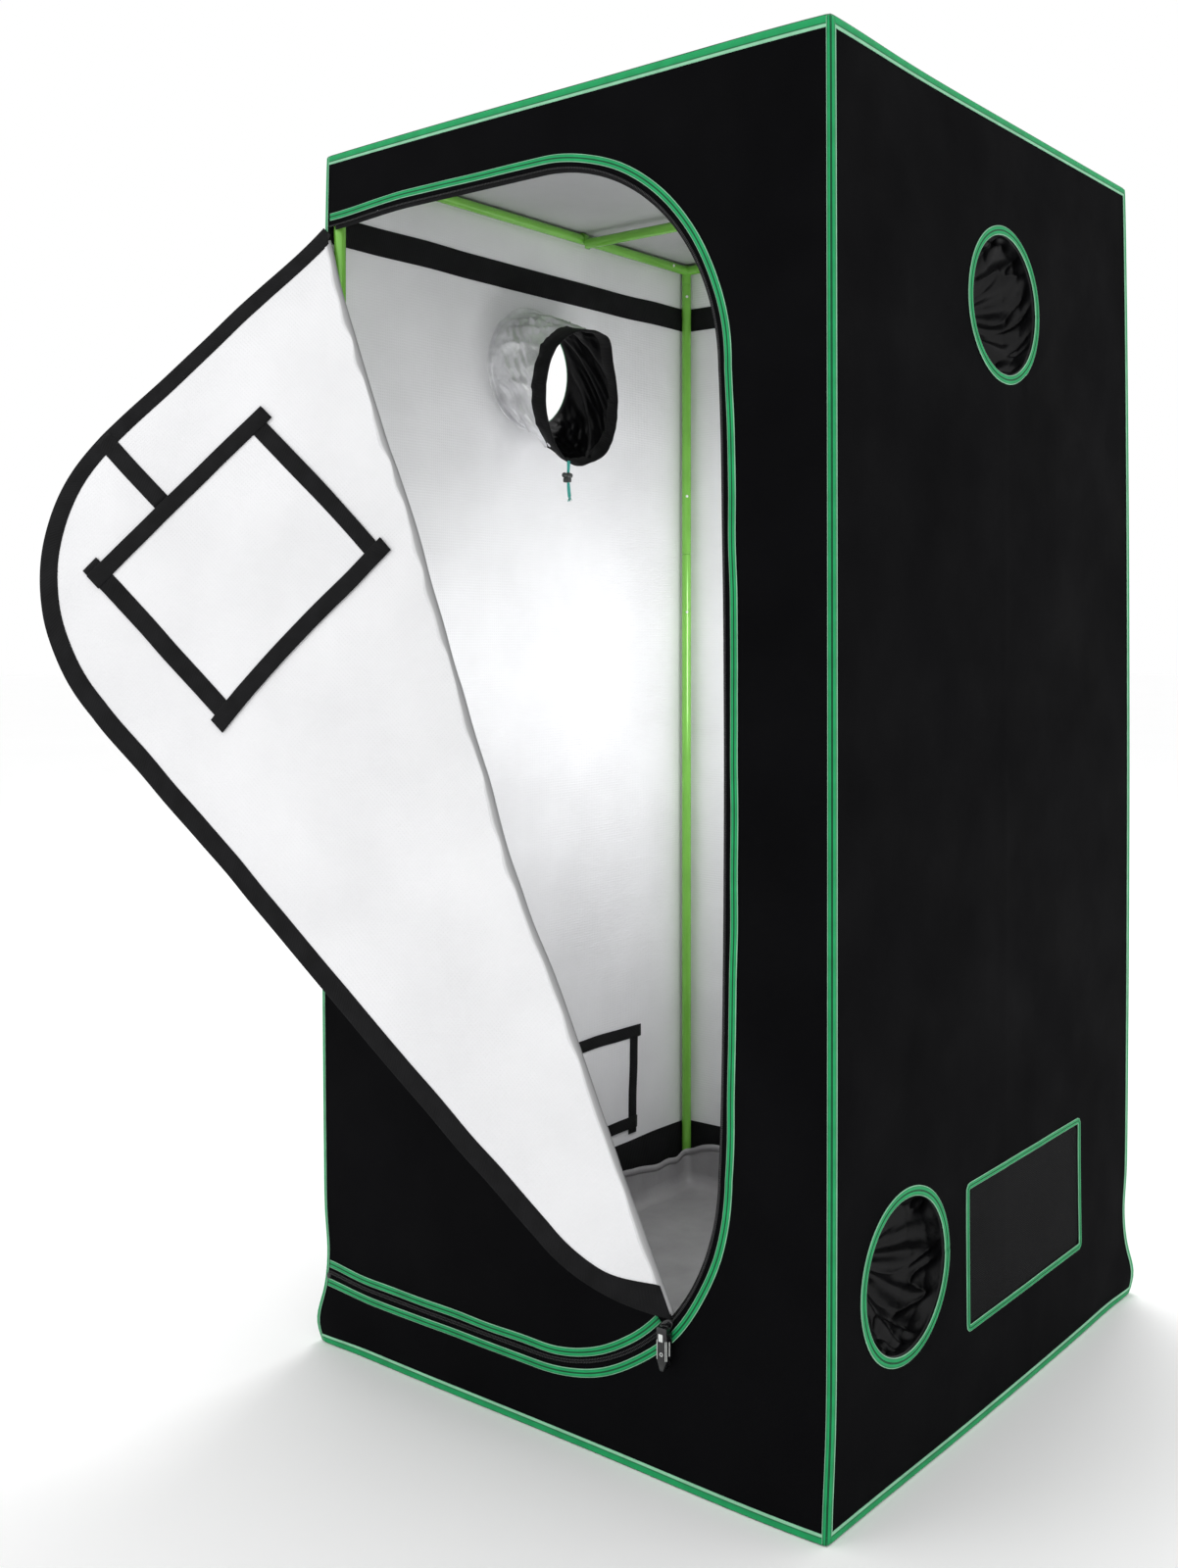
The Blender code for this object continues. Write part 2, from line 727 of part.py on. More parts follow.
def band_outline(inner, outer, left, low_from):
    """The strip between two offsets of the zip line, from its top end to low_from."""
    return zip_line(outer, left, low_from) + zip_line(inner, left, low_from)[::-1]


def low_band_outline(inner, outer, left, start):
    """The strip along the closed part of the zip, from the left edge to the angle start."""
    def run(offset):
        radius = ZIP_CORNER_RADIUS + offset
        bend = arc((ARC_X, LOW_ARC_Z), radius, -math.pi / 2, start, ARC_STEPS)
        return [(left, ZIP_BOTTOM - offset)] + bend

    return run(outer) + run(inner)[::-1]


def make_door(hinge):
    """The zipped-up lower part of the door, and the open flap with its window."""
    near = -ZIP_HALF_GAP
    edge = ROLL_RADIUS + GAP
    bend = arc(
        (ARC_X, LOW_ARC_Z),
        ZIP_CORNER_RADIUS + near,
        -math.pi / 2,
        FOLD_END_ANGLE - edge / ZIP_CORNER_RADIUS,
        ARC_STEPS,
    )
    lower = [(0, ZIP_BOTTOM - near)] + bend
    lower += [fold_point(FOLD_LENGTH - edge, -edge), fold_point(0, -edge)]
    lower += [(0, fold_point(0, -edge)[1])]
    panel = outline_curve("door_lower", [lower], FABRIC)
    put("door_lower", panel, "outer_fabric", front_plane(FABRIC / 2))

    flap_sheet = flap_outline()
    window = rounded_rectangle(
        WINDOW_LEFT, WINDOW_BOTTOM, WINDOW_RIGHT, WINDOW_TOP, WINDOW_CORNER
    )
    sheet = sheet_mesh("door_flap", [flap_sheet, window], FABRIC)
    sheet.transform(front_plane(FABRIC / 2))
    turned = along((FOLD_ALONG.x, 0, FOLD_ALONG.y))
    first = wall_point(fold_point(TIP_CUT / 2, 0), -HINGE_PROUD)
    roll_length = FOLD_LENGTH - TIP_CUT * 3 / 2
    roll_place = Matrix.Translation(first) @ turned
    roll = rod_mesh("roll", ROLL_RADIUS, roll_length, ROLL_SIDES, roll_place)
    fused("door_flap", [sheet, roll], "outer_fabric", hinge_local(hinge), hinge)

    pane = rounded_rectangle(
        WINDOW_LEFT + GAP, WINDOW_BOTTOM + GAP, WINDOW_RIGHT - GAP, WINDOW_TOP - GAP, WINDOW_CORNER
    )
    film = outline_curve("door_window", [pane], FABRIC / 2)
    put("door_window", film, "clear_film", hinge_local(hinge) @ front_plane(FABRIC / 2), hinge)

    strap_depth = FABRIC + GAP + WEB_THICKNESS / 2
    strap_low = WINDOW_TOP + WINDOW_LAP + STRAP_CLEARANCE
    strap_high = ZIP_TOP - ZIP_BAND_INSET
    half = STRAP_WIDTH / 2
    strap = rectangle(STRAP_CENTRE - half, strap_low, STRAP_CENTRE + half, strap_high)
    strip = outline_curve("window_strap", [strap], WEB_THICKNESS)
    put(
        "window_strap", strip, "black_webbing", hinge_local(hinge) @ front_plane(strap_depth), hinge
    )


def wall_point(place, depth):
    """A point (x, z) of the front wall in the tent, depth metres behind the outer face."""
    return Vector((place[0] - HALF_WIDTH, -HALF_DEPTH + depth, place[1]))


def hinge_local(hinge):
    """Carries a place at the closed door into the frame of the turned hinge."""
    return Matrix.Translation(-hinge.location)


def flap_outline():
    """The flap inside the zip: along the fold, a cut tip, the arcs, the top and the left edge."""
    near = -ZIP_HALF_GAP
    tip = TIP_CUT / ZIP_CORNER_RADIUS
    points = [fold_point(0, ROLL_RADIUS / 2), fold_point(FOLD_LENGTH - TIP_CUT, ROLL_RADIUS / 2)]
    points += zip_line(near, DOOR_LEFT, FOLD_END_ANGLE + tip)
    return points


def make_hinge():
    """The fold's axis, just proud of the wall, turned from closed to the open angle."""
    hinge = bpy.data.objects.new("door_fold_axis", None)
    PARTS.objects.link(hinge)
    hinge.location = wall_point(FOLD_START, -HINGE_PROUD)
    axis = Vector((FOLD_ALONG.x, 0, FOLD_ALONG.y))
    hinge.rotation_mode = "QUATERNION"
    hinge.rotation_quaternion = Matrix.Rotation(DOOR_OPEN_ANGLE, 3, axis).to_quaternion()
    bpy.context.view_layer.update()
    return hinge


def make_zip(hinge):
    """Green bands beside the zip: on the wall, on the closed door part and on the flap."""
    depth = -GAP - BINDING_THICKNESS / 2
    near, far = ZIP_BAND_INSET, ZIP_BAND_INSET + ZIP_BAND_WIDTH
    wall_band = outline_curve(
        "zip_band_wall", [band_outline(near, far, DOOR_LEFT, -math.pi / 2)], BINDING_THICKNESS
    )
    put("zip_band_wall", wall_band, "green_binding", front_plane(depth))
    start = FOLD_END_ANGLE - BAND_SETBACK / ZIP_CORNER_RADIUS
    low_band = outline_curve(
        "zip_band_door", [low_band_outline(-far, -near, DOOR_LEFT, start)], BINDING_THICKNESS
    )
    put("zip_band_door", low_band, "green_binding", front_plane(depth))
    start = FOLD_END_ANGLE + 2 * BAND_SETBACK / ZIP_CORNER_RADIUS
    flap_band = outline_curve(
        "zip_band_flap",
        [band_outline(-far, -near, DOOR_LEFT + BAND_SETBACK, start)],
        BINDING_THICKNESS,
    )
    put("zip_band_flap", flap_band, "green_binding", hinge_local(hinge) @ front_plane(depth), hinge)


def make_slider():
    """Two plates round the zip joined by a neck, a bail on lugs, and the hanging pull."""
    angle = FOLD_END_ANGLE - SLIDER_STEP / ZIP_CORNER_RADIUS
    spot = (
        ARC_X + ZIP_CORNER_RADIUS * math.cos(angle),
        LOW_ARC_Z + ZIP_CORNER_RADIUS * math.sin(angle),
    )
    place = wall_point(spot, 0)
    half_length, half_width = SLIDER_LENGTH / 2, SLIDER_WIDTH / 2
    face = BINDING_FACE + GAP
    front = face + SLIDER_PLATE
    inside = FABRIC + 2 * GAP
    back = inside + SLIDER_PLATE
    turn = Matrix.Rotation(-angle, 4, "Y")
    plate = box_mesh("p", (-half_width, -front, -half_length), (half_width, -face, half_length))
    rear = box_mesh("r", (-half_width, inside, -half_length), (half_width, back, half_length))
    neck = box_mesh(
        "n",
        (-SLIDER_NECK / 2, SLIDER_PLATE / 2 - front, -half_length / 2),
        (SLIDER_NECK / 2, back - SLIDER_PLATE / 2, half_length / 2),
    )
    for data in (plate, rear, neck):
        data.transform(turn)
    axis_y = -front - BAIL_STANDOFF
    lugs = []
    for side in (-1, 1):
        outer = side * BAIL_LENGTH / 2
        inner = outer - side * LUG_THICKNESS
        low = (min(outer, inner), axis_y - BAIL_RADIUS, -BAIL_RADIUS)
        high = (max(outer, inner), -face - SLIDER_PLATE / 2, BAIL_RADIUS)
        lugs.append(box_mesh("lug", low, high))
    bar_place = Matrix.Translation((-BAIL_LENGTH / 2 + LUG_THICKNESS / 2, axis_y, 0))
    bar_length = BAIL_LENGTH - LUG_THICKNESS
    bar = rod_mesh("bar", BAIL_RADIUS, bar_length, BUTTON_SIDES, bar_place @ along((1, 0, 0)))
    at = Matrix.Translation(place)
    fused("zip_slider", [plate, rear, neck, *lugs, bar], "black_zip", at)
    make_pull(place + Vector((0, axis_y, 0)))


def make_pull(axis_point):
    """A pointed block hung from a thinner eye round the bail, its origin on the bail's axis."""
    half = PULL_WIDTH / 2
    eye = PULL_EYE_WIDTH / 2
    head = BAIL_RADIUS + GAP + PULL_BEVEL
    foot = head - PULL_LENGTH
    shoulder = -BAIL_RADIUS - PULL_BEVEL - LUG_THICKNESS
    outline = [
        (-half / 3, foot),
        (half / 3, foot),
        (half, foot + PULL_POINT),
        (half, shoulder - PULL_BEVEL),
        (half - PULL_BEVEL, shoulder),
        (eye, shoulder),
        (eye, head - PULL_BEVEL),
        (eye - PULL_BEVEL, head),
        (-eye + PULL_BEVEL, head),
        (-eye, head - PULL_BEVEL),
        (-eye, shoulder),
        (-half + PULL_BEVEL, shoulder),
        (-half, shoulder - PULL_BEVEL),
        (-half, foot + PULL_POINT),
    ]
    tab = sheet_mesh("tab", [outline], PULL_THICKNESS)
    tab.transform(turned_front())
    block_top = shoulder - PULL_BODY_DROP
    block_outline = [*outline[:3], (half, block_top), (-half, block_top), outline[-1]]
    block = sheet_mesh("block", [block_outline], PULL_DEPTH)
    block.transform(
        Matrix.Translation((0, PULL_BODY_INSIDE - PULL_DEPTH / 2, 0)) @ turned_front()
    )
    bore_place = Matrix.Translation((-half, 0, 0)) @ along((1, 0, 0))
    bore = rod_mesh("bore", BAIL_RADIUS + GAP, PULL_WIDTH, BUTTON_SIDES, bore_place)
    fused("zip_pull", [tab, block], "black_zip", Matrix.Translation(axis_point), cutters=[bore])


def make_window_cover(hinge):
    """The inner cover of the window, hinged along its upper webbing."""
    outline = eared_rectangle(
        WINDOW_LEFT - WINDOW_LAP,
        WINDOW_BOTTOM - WINDOW_LAP,
        WINDOW_RIGHT + WINDOW_LAP,
        WINDOW_TOP + WINDOW_LAP,
        EAR_LENGTH,
        EAR_WIDTH,
    )
    depth = FABRIC + GAP + WEB_THICKNESS / 2
    pivot = wall_point((STRAP_CENTRE, WINDOW_TOP + WINDOW_LAP), depth)
    sheet = outline_curve("window_cover", [outline], WEB_THICKNESS)
    made = put("window_cover", sheet, "inner_fabric", parent=hinge)
    set_pivot(made, sheet, front_plane(depth), pivot)
    made.matrix_local = hinge_local(hinge) @ Matrix.Translation(pivot) @ turned_front()


def set_pivot(made, sheet, plane, pivot):
    """Moves the outline's points so that its own origin lies on the pivot."""
    shift = plane.inverted() @ pivot
    for spline in sheet.splines:
        for point in spline.points:
            point.co = (point.co.x - shift.x, point.co.y - shift.y, 0, 1)


def make_vents():
    """Each side's mesh panel with its green frame, and the cover that hangs inside it."""
    for side, place in ((-1, "left"), (1, "right")):
        mesh = sheet_mesh("mesh", [vent_hole(GAP)], FABRIC)
        frame = sheet_mesh(
            "frame",
            [
                rounded_rectangle(
                    VENT_FRONT, VENT_BOTTOM, VENT_BACK, VENT_TOP, VENT_CORNER + VENT_BINDING
                ),
                vent_hole(VENT_BINDING),
            ],
            BINDING_THICKNESS,
        )
        mesh.transform(Matrix.Translation((0, 0, side * (BINDING_THICKNESS - FABRIC) / 2)))
        middle = side_plane(side, -GAP - BINDING_THICKNESS / 2)
        fused(f"vent_panel_{place}", [frame, mesh], "vent_mesh", middle)

        outline = eared_rectangle(
            VENT_FRONT - VENT_COVER_FRONT_LAP,
            VENT_COVER_BOTTOM,
            VENT_BACK + VENT_COVER_BACK_LAP,
            VENT_COVER_TOP,
            EAR_LENGTH,
            VENT_EAR_WIDTH,
            hanging=True,
        )
        depth = FABRIC + GAP + WEB_THICKNESS / 2
        plane = side_plane(side, depth)
        middle_y = (VENT_FRONT + VENT_BACK) / 2
        pivot = Vector((side * (HALF_WIDTH - depth), middle_y - HALF_DEPTH, VENT_COVER_TOP))
        cover = outline_curve(f"vent_cover_{place}", [outline], WEB_THICKNESS)
        made = put(f"vent_cover_{place}", cover, "inner_fabric")
        set_pivot(made, cover, plane, pivot)
        made.matrix_local = Matrix.Translation(pivot) @ plane.to_3x3().to_4x4()


# Rings of an open sleeve: shares of its length, half width, half height, droop and folds
OPEN_SLEEVE_SHARES = (
    (0.0, 1.0, 1.0, 0.0, 0.0),
    (0.25, 1.02, 1.05, 0.2, 0.15),
    (0.55, 1.03, 1.08, 0.55, 0.5),
    (0.8, 0.99, 1.12, 0.84, 0.85),
    (1.0, 0.95, 1.14, 1.0, 1.0),
)
# The open sleeve's folded mouth: share of a turn from the back, and radius share there
MOUTH_FOLD_SHARES = (
    (0.0, 1.02),
    (0.1, 1.1),
    (0.145, 1.3),
    (0.18, 1.2),
    (0.23, 1.07),
    (0.29, 1.0),
    (0.38, 0.98),
    (0.5, 0.96),
    (0.61, 1.01),
    (0.68, 1.04),
    (0.75, 1.0),
    (0.79, 0.97),
    (0.88, 1.04),
    (1.0, 1.02),
)
# Rings of a sleeve drawn shut: share of its length, share of its radius, share of the pleats
DRAWN_SLEEVE_SHARES = (
    (0.0, 1.0, 0.0),
    (0.2, 0.97, 0.3),
    (0.42, 0.85, 0.9),
    (0.62, 0.62, 1.0),
    (0.78, 0.36, 0.7),
    (0.88, 0.15, 0.2),
    (1.0, 0.17, 0.25),
)


def ring_points(x, centre_z, half_y, half_z, pleat=0.0, fold_share=0.0):
    """A ring round the sleeve's axis, pleated in and out or folded as the open mouth is."""
    angles = np.linspace(0, 2 * math.pi, PORT_SIDES, endpoint=False)
    turns, radii = zip(*MOUTH_FOLD_SHARES)
    folded = np.interp(angles / (2 * math.pi), turns, radii)
    swing = 1 + pleat * np.cos(angles * PORT_SIDES / 2) + fold_share * (folded - 1)
    return [
        (x, half_y * s * math.cos(a), centre_z + half_z * s * math.sin(a))
        for a, s in zip(angles, swing)
    ]


def loft_mesh(name, rings):
    """Skins rings of equal count into an open tube."""
    points = [point for ring in rings for point in ring]
    count = len(rings[0])
    faces = []
    for row in range(len(rings) - 1):
        for i in range(count):
            j = (i + 1) % count
            low, high = row * count, (row + 1) * count
            faces.append((low + i, low + j, high + j, high + i))
    data = bpy.data.meshes.new(name)
    data.from_pydata(points, [], faces)
    return data


def make_sleeve(name, side, from_front, height, drawn, finish):
    """A sleeve sewn in its port's hole, running inwards: open and drooping, or drawn shut."""
    start = 2 * FABRIC
    radius = PORT_RADIUS - GAP - FABRIC / 2
    rings = [ring_points(-side * GAP, 0, radius, radius)]
    if drawn:
        for share, wide_share, pleat_share in DRAWN_SLEEVE_SHARES:
            inwards = start + share * DRAWN_LENGTH
            half = radius * wide_share
            pleat = pleat_share * PLEAT_DEPTH / half
            rings.append(ring_points(-side * inwards, 0, half, half, pleat))
    else:
        for share, wide_share, tall_share, droop_share, fold_share in OPEN_SLEEVE_SHARES:
            x = -side * (start + share * SLEEVE_LENGTH)
            droop = -droop_share * SLEEVE_DROOP
            half_y, half_z = radius * wide_share, radius * tall_share
            rings.append(ring_points(x, droop, half_y, half_z, fold_share=fold_share))
    data = loft_mesh(name, rings)
    if side > 0:
        data.flip_normals()
    place = Matrix.Translation((side * HALF_WIDTH, from_front - HALF_DEPTH, height))
    made = put(name, smooth(data), finish, place)
    wall = made.modifiers.new("wall", "SOLIDIFY")
    wall.thickness = FABRIC
    wall.offset = 0
    return made


def make_ports():
    """Port rings outside, sleeves inside, and the drawstring locks."""
    ports = (
        ("left_top", -1, TOP_PORT_FROM_FRONT, TOP_PORT_HEIGHT, False),
        ("right_top", 1, TOP_PORT_FROM_FRONT, TOP_PORT_HEIGHT, True),
        ("right_low", 1, LOW_PORT_FROM_FRONT, LOW_PORT_HEIGHT, True),
    )
    inner = PORT_RADIUS - FABRIC
    for label, side, from_front, height, drawn in ports:
        outlines = [
            port_circle(from_front, height, inner + PORT_RING_WIDTH),
            port_circle(from_front, height, inner),
        ]
        ring = outline_curve(f"port_ring_{label}", outlines, BINDING_THICKNESS)
        depth = -GAP - BINDING_THICKNESS / 2
        put(f"port_ring_{label}", ring, "green_binding", side_plane(side, depth))
        finish = "outer_fabric" if drawn else "inner_fabric"
        make_sleeve(f"sleeve_{label}", side, from_front, height, drawn, finish)
        if drawn:
            hem = drawn_hem_place(side, from_front, height)
            make_drawn_lock(f"cord_lock_{label}", hem)
    make_left_drawstring()


def drawn_hem_place(side, from_front, height):
    """The lowest point of a gathered end, a gap below its fabric."""
    _, wide_share, pleat_share = DRAWN_SLEEVE_SHARES[-1]
    radius = (PORT_RADIUS - GAP - FABRIC / 2) * wide_share + pleat_share * PLEAT_DEPTH
    x = side * (HALF_WIDTH - 2 * FABRIC - DRAWN_LENGTH)
    return Vector((x, from_front - HALF_DEPTH, height - radius - FABRIC / 2 - GAP))


def lock_meshes():
    """A lock that hangs down from the origin: a barrel with two pressed lobes."""
    down = along((0, 0, -1))
    body = rod_mesh("body", LOCK_RADIUS, LOCK_LENGTH, BUTTON_SIDES, down)
    lobes = []
    for side in (-1, 1):
        reach = Matrix.Translation((0, side * LOCK_RADIUS, -LOCK_LOBE_RADIUS))
        lobes.append(ball_mesh("lobe", LOCK_LOBE_RADIUS, BUTTON_SIDES, reach))
    return [body, *lobes]


def make_drawn_lock(name, hem):
    """A lock pushed up against the gathered end, with the cord's tail ends through it."""
    middle = LOCK_LENGTH / 2
    place = Matrix.Translation((0, 0, -middle)) @ along((0, 0, -1))
    tail = rod_mesh("tail", CORD_DIAMETER / 2, CORD_LENGTH - middle, BUTTON_SIDES, place)
    fused(name, [*lock_meshes(), tail], "lock_plastic", Matrix.Translation(hem))


def left_hem_place():
    """The middle of the flat of the open sleeve's end where its drawstring comes out."""
    _, wide_share, tall_share, droop_share, fold_share = OPEN_SLEEVE_SHARES[-1]
    radius = PORT_RADIUS - GAP - FABRIC / 2
    x = -HALF_WIDTH + 2 * FABRIC + SLEEVE_LENGTH
    droop = -droop_share * SLEEVE_DROOP
    half_y, half_z = radius * wide_share, radius * tall_share
    ring = ring_points(x, droop, half_y, half_z, fold_share=fold_share)
    corner = math.floor(CORD_EXIT_SHARE * PORT_SIDES)
    middle = (Vector(ring[corner]) + Vector(ring[corner + 1])) / 2
    return middle + Vector((0, TOP_PORT_FROM_FRONT - HALF_DEPTH, TOP_PORT_HEIGHT))


# The drawstring's route below the hem: sideways, forward and down, as shares of its length
CORD_ROUTE_SHARES = (
    (0.0, 0.0, 0.0),
    (0.0, 0.0, 0.12),
    (0.0, 0.0, 0.3),
    (0.0, 0.0, 0.5),
    (0.0, 0.0, 0.68),
    (0.02, 0.01, 0.84),
    (0.06, 0.03, 0.99),
)


def make_left_drawstring():
    """The cord that hangs from the open sleeve's hem, with its lock part way down."""
    hem = left_hem_place() - Vector((0, 0, FABRIC / 2 + CORD_CLEARANCE))
    curve = bpy.data.curves.new("drawstring_left", "CURVE")
    curve.dimensions = "3D"
    curve.bevel_depth = CORD_DIAMETER / 2
    curve.bevel_resolution = 2
    curve.use_fill_caps = True
    spline = curve.splines.new("POLY")
    spline.points.add(len(CORD_ROUTE_SHARES) - 1)
    for point, (x, y, down) in zip(spline.points, CORD_ROUTE_SHARES):
        point.co = (x * CORD_LENGTH, y * CORD_LENGTH, -down * CORD_LENGTH, 1)
    put("drawstring_left", curve, "teal_cord", Matrix.Translation(hem))
    bore_start = Matrix.Translation((0, 0, OVERRUN)) @ along((0, 0, -1))
    bore_length = LOCK_LENGTH + 2 * OVERRUN
    bore = rod_mesh("bore", CORD_DIAMETER / 2 + GAP, bore_length, BUTTON_SIDES, bore_start)
    place = Matrix.Translation(hem - Vector((0, 0, LOCK_DROP)))
    fused("cord_lock_left_top", lock_meshes(), "lock_plastic", place, cutters=[bore])


def make_bands():
    """Black webbing round the left, back and right walls, high and low."""
    clear = FABRIC + GAP
    for name, low, height in (
        ("band_upper", UPPER_BAND_TOP - UPPER_BAND_WIDTH, UPPER_BAND_WIDTH),
        ("band_lower", LOWER_BAND_BOTTOM, LOWER_BAND_WIDTH),
    ):
        x, y = HALF_WIDTH - clear, HALF_DEPTH - clear
        inner_x, inner_y = x - WEB_THICKNESS, y - WEB_THICKNESS
        outline = [
            (-x, -y),
            (-x, y),
            (x, y),
            (x, -y),
            (inner_x, -y),
            (inner_x, inner_y),
            (-inner_x, inner_y),
            (-inner_x, -y),
        ]
        strip = outline_curve(name, [outline], height)
        put(name, strip, "black_webbing", Matrix.Translation((0, 0, low + height / 2)))


def make_tray():
    """The loose floor tray inside the posts: an open box with a fabric wall."""
    inset = POLE_INSET + HUB_RADIUS + GAP
    x, y = HALF_WIDTH - inset, HALF_DEPTH - inset
    bottom = FABRIC + GAP
    data = box_mesh("floor_tray", (-x, -y, bottom), (x, y, TRAY_HEIGHT))
    work = bmesh.new()
    work.from_mesh(data)
    top = max(work.faces, key=lambda face: face.calc_center_median().z)
    bmesh.ops.delete(work, geom=[top], context="FACES")
    work.to_mesh(data)
    work.free()
    tray = put("floor_tray", data, "grey_tray")
    wall = tray.modifiers.new("wall", "SOLIDIFY")
    wall.thickness = FABRIC
    wall.offset = -1


def main():
    make_frame()
    make_bar()
    make_cover()
    make_edge_binding()
    hinge = make_hinge()
    make_door(hinge)
    make_zip(hinge)
    make_slider()
    make_window_cover(hinge)
    make_vents()
    make_ports()
    make_bands()
    make_tray()


main()
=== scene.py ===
"""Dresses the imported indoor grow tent: cloth cover, open door, zip, poles, ports, vents and tray.

Lengths are in metres. X runs to the right seen from the front, Y from the front to the back, Z up.
Each panel has its own flat coordinates: the front wall and the door count from the tent's left
and from the ground, a side wall counts from the front and from the ground.
"""

import json
import math

import bmesh
import bpy
import numpy as np
from bpy.props import FloatProperty, FloatVectorProperty, PointerProperty
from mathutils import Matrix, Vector

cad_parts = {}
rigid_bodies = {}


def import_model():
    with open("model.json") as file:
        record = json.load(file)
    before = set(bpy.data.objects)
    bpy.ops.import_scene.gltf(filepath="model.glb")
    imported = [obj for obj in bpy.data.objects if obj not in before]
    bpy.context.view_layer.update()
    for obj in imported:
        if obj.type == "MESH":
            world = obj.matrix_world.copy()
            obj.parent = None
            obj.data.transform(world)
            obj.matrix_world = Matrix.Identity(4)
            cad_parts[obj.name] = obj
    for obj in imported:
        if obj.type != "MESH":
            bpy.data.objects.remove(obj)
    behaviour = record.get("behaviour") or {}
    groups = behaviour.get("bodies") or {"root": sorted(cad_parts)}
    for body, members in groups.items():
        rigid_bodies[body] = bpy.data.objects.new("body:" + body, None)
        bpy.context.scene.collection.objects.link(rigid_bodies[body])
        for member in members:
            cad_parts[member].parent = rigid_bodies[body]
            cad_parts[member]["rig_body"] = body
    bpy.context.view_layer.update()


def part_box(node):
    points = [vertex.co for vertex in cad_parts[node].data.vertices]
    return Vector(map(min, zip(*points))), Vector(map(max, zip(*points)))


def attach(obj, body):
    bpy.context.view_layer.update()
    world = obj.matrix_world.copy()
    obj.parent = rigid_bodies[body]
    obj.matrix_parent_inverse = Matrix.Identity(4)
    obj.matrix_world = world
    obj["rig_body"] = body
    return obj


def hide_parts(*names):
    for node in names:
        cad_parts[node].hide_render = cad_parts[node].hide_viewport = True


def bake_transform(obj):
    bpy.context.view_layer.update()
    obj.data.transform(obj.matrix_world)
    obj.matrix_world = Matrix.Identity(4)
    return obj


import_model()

bl_info = {
    "name": "Indoor Grow Tent", "version": (1, 0, 0), "blender": (4, 5, 0),
    "location": "View3D > Sidebar > Grow Tent",
    "description": "Builds the cloth, zip, poles and fittings of an indoor grow tent on its frame",
    "category": "Add Mesh",
}

BACK_LOW, BACK_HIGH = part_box("wall_back")
ROOF_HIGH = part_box("roof_panel")[1]


def length(label, about, default):
    """A size in metres that a user would change."""
    return FloatProperty(
        name=label, description=about, default=default, min=0.0, unit="LENGTH", precision=4
    )


def tint(label, about, default):
    """A colour that a user would change."""
    return FloatVectorProperty(
        name=label, description=about, default=default, subtype="COLOR", size=3, min=0.0, max=1.0
    )


class TentSizes(bpy.types.PropertyGroup):
    """Sizes of the tent that a user would change"""

    width: length("Width", "Outer width of the cover", BACK_HIGH.x - BACK_LOW.x)
    depth: length("Depth", "Outer depth of the cover", 2 * BACK_HIGH.y)
    height: length("Height", "Height of the cover", ROOF_HIGH.z)
    cloth: length("Cloth", "Thickness of the cover's cloth", 0.0013)
    cell: length("Cell", "Spacing of the cloth's mesh", 0.008)
    swell: length("Swell", "How far a wall bows outwards at its middle", 0.005)
    skirt: length("Skirt", "How far a wall bows outwards at its foot", 0.0058)
    ridge: length("Ridge", "How far the roof's front edge bows up", 0.004)
    corner_ears: length("Corner ears", "How far two lower corners stand out", 0.0085)
    near_foot: length("Near foot", "How far the front's foot stands out at the near corner", 0.008)
    near_top: length("Near top", "How far the top stands up at the near corner", 0.006)
    rumple: length("Rumple", "Height of the low folds in a wall", 0.0014)
    pole_inset: length("Pole inset", "From the cover's face to a pole's axis", 0.0121)
    pole_radius: length("Pole radius", "Radius of the steel poles", 0.008)
    binding: length("Binding", "Width of the edge tape on a side wall", 0.009)
    binding_front: length("Front binding", "Width of the edge tape on the front", 0.0055)
    binding_level: length("Level binding", "Height of the edge tape above and below", 0.012)
    rounding: length("Rounding", "Radius of the cover's edges", 0.003)
    zip_right: length("Zip right", "From the tent's left to the zip's right side", 0.657)
    zip_bottom: length("Zip bottom", "Height of the zip's lower run", 0.09)
    zip_top: length("Zip top", "Height of the zip's upper run", 1.512)
    zip_radius: length("Zip radius", "Radius of the zip's corners", 0.266)
    zip_bow: length("Zip bow", "How far the zip's upright side bows", 0.0075)
    tape: length("Zip tape", "Width of the green tape beside the zip", 0.0097)
    tape_gap: length("Zip tape gap", "From the zip's teeth to the green tape", 0.007)
    crease_bow: length("Crease bow", "How far the door's crease seems to bow", 0.03)
    billow: length("Billow", "Height of the waves in the open flap", 0.0062)
    window_left: length("Window left", "Left side of the window in the door", 0.256)
    window_right: length("Window right", "Right side of the window in the door", 0.52)
    window_bottom: length("Window bottom", "Lower side of the window", 1.116)
    window_top: length("Window top", "Upper side of the window", 1.354)
    webbing: length("Webbing", "Width of the webbing on the window cover", 0.024)
    port_radius: length("Port radius", "Radius of a duct port", 0.0885)
    port_ring: length("Port ring", "Width of a port's green ring", 0.0115)
    top_port: length("Top port", "Height of the high ports", 1.366)
    low_port: length("Low port", "Height of the low port", 0.2335)
    tray: length("Tray", "Height of the floor tray's wall", 0.066)


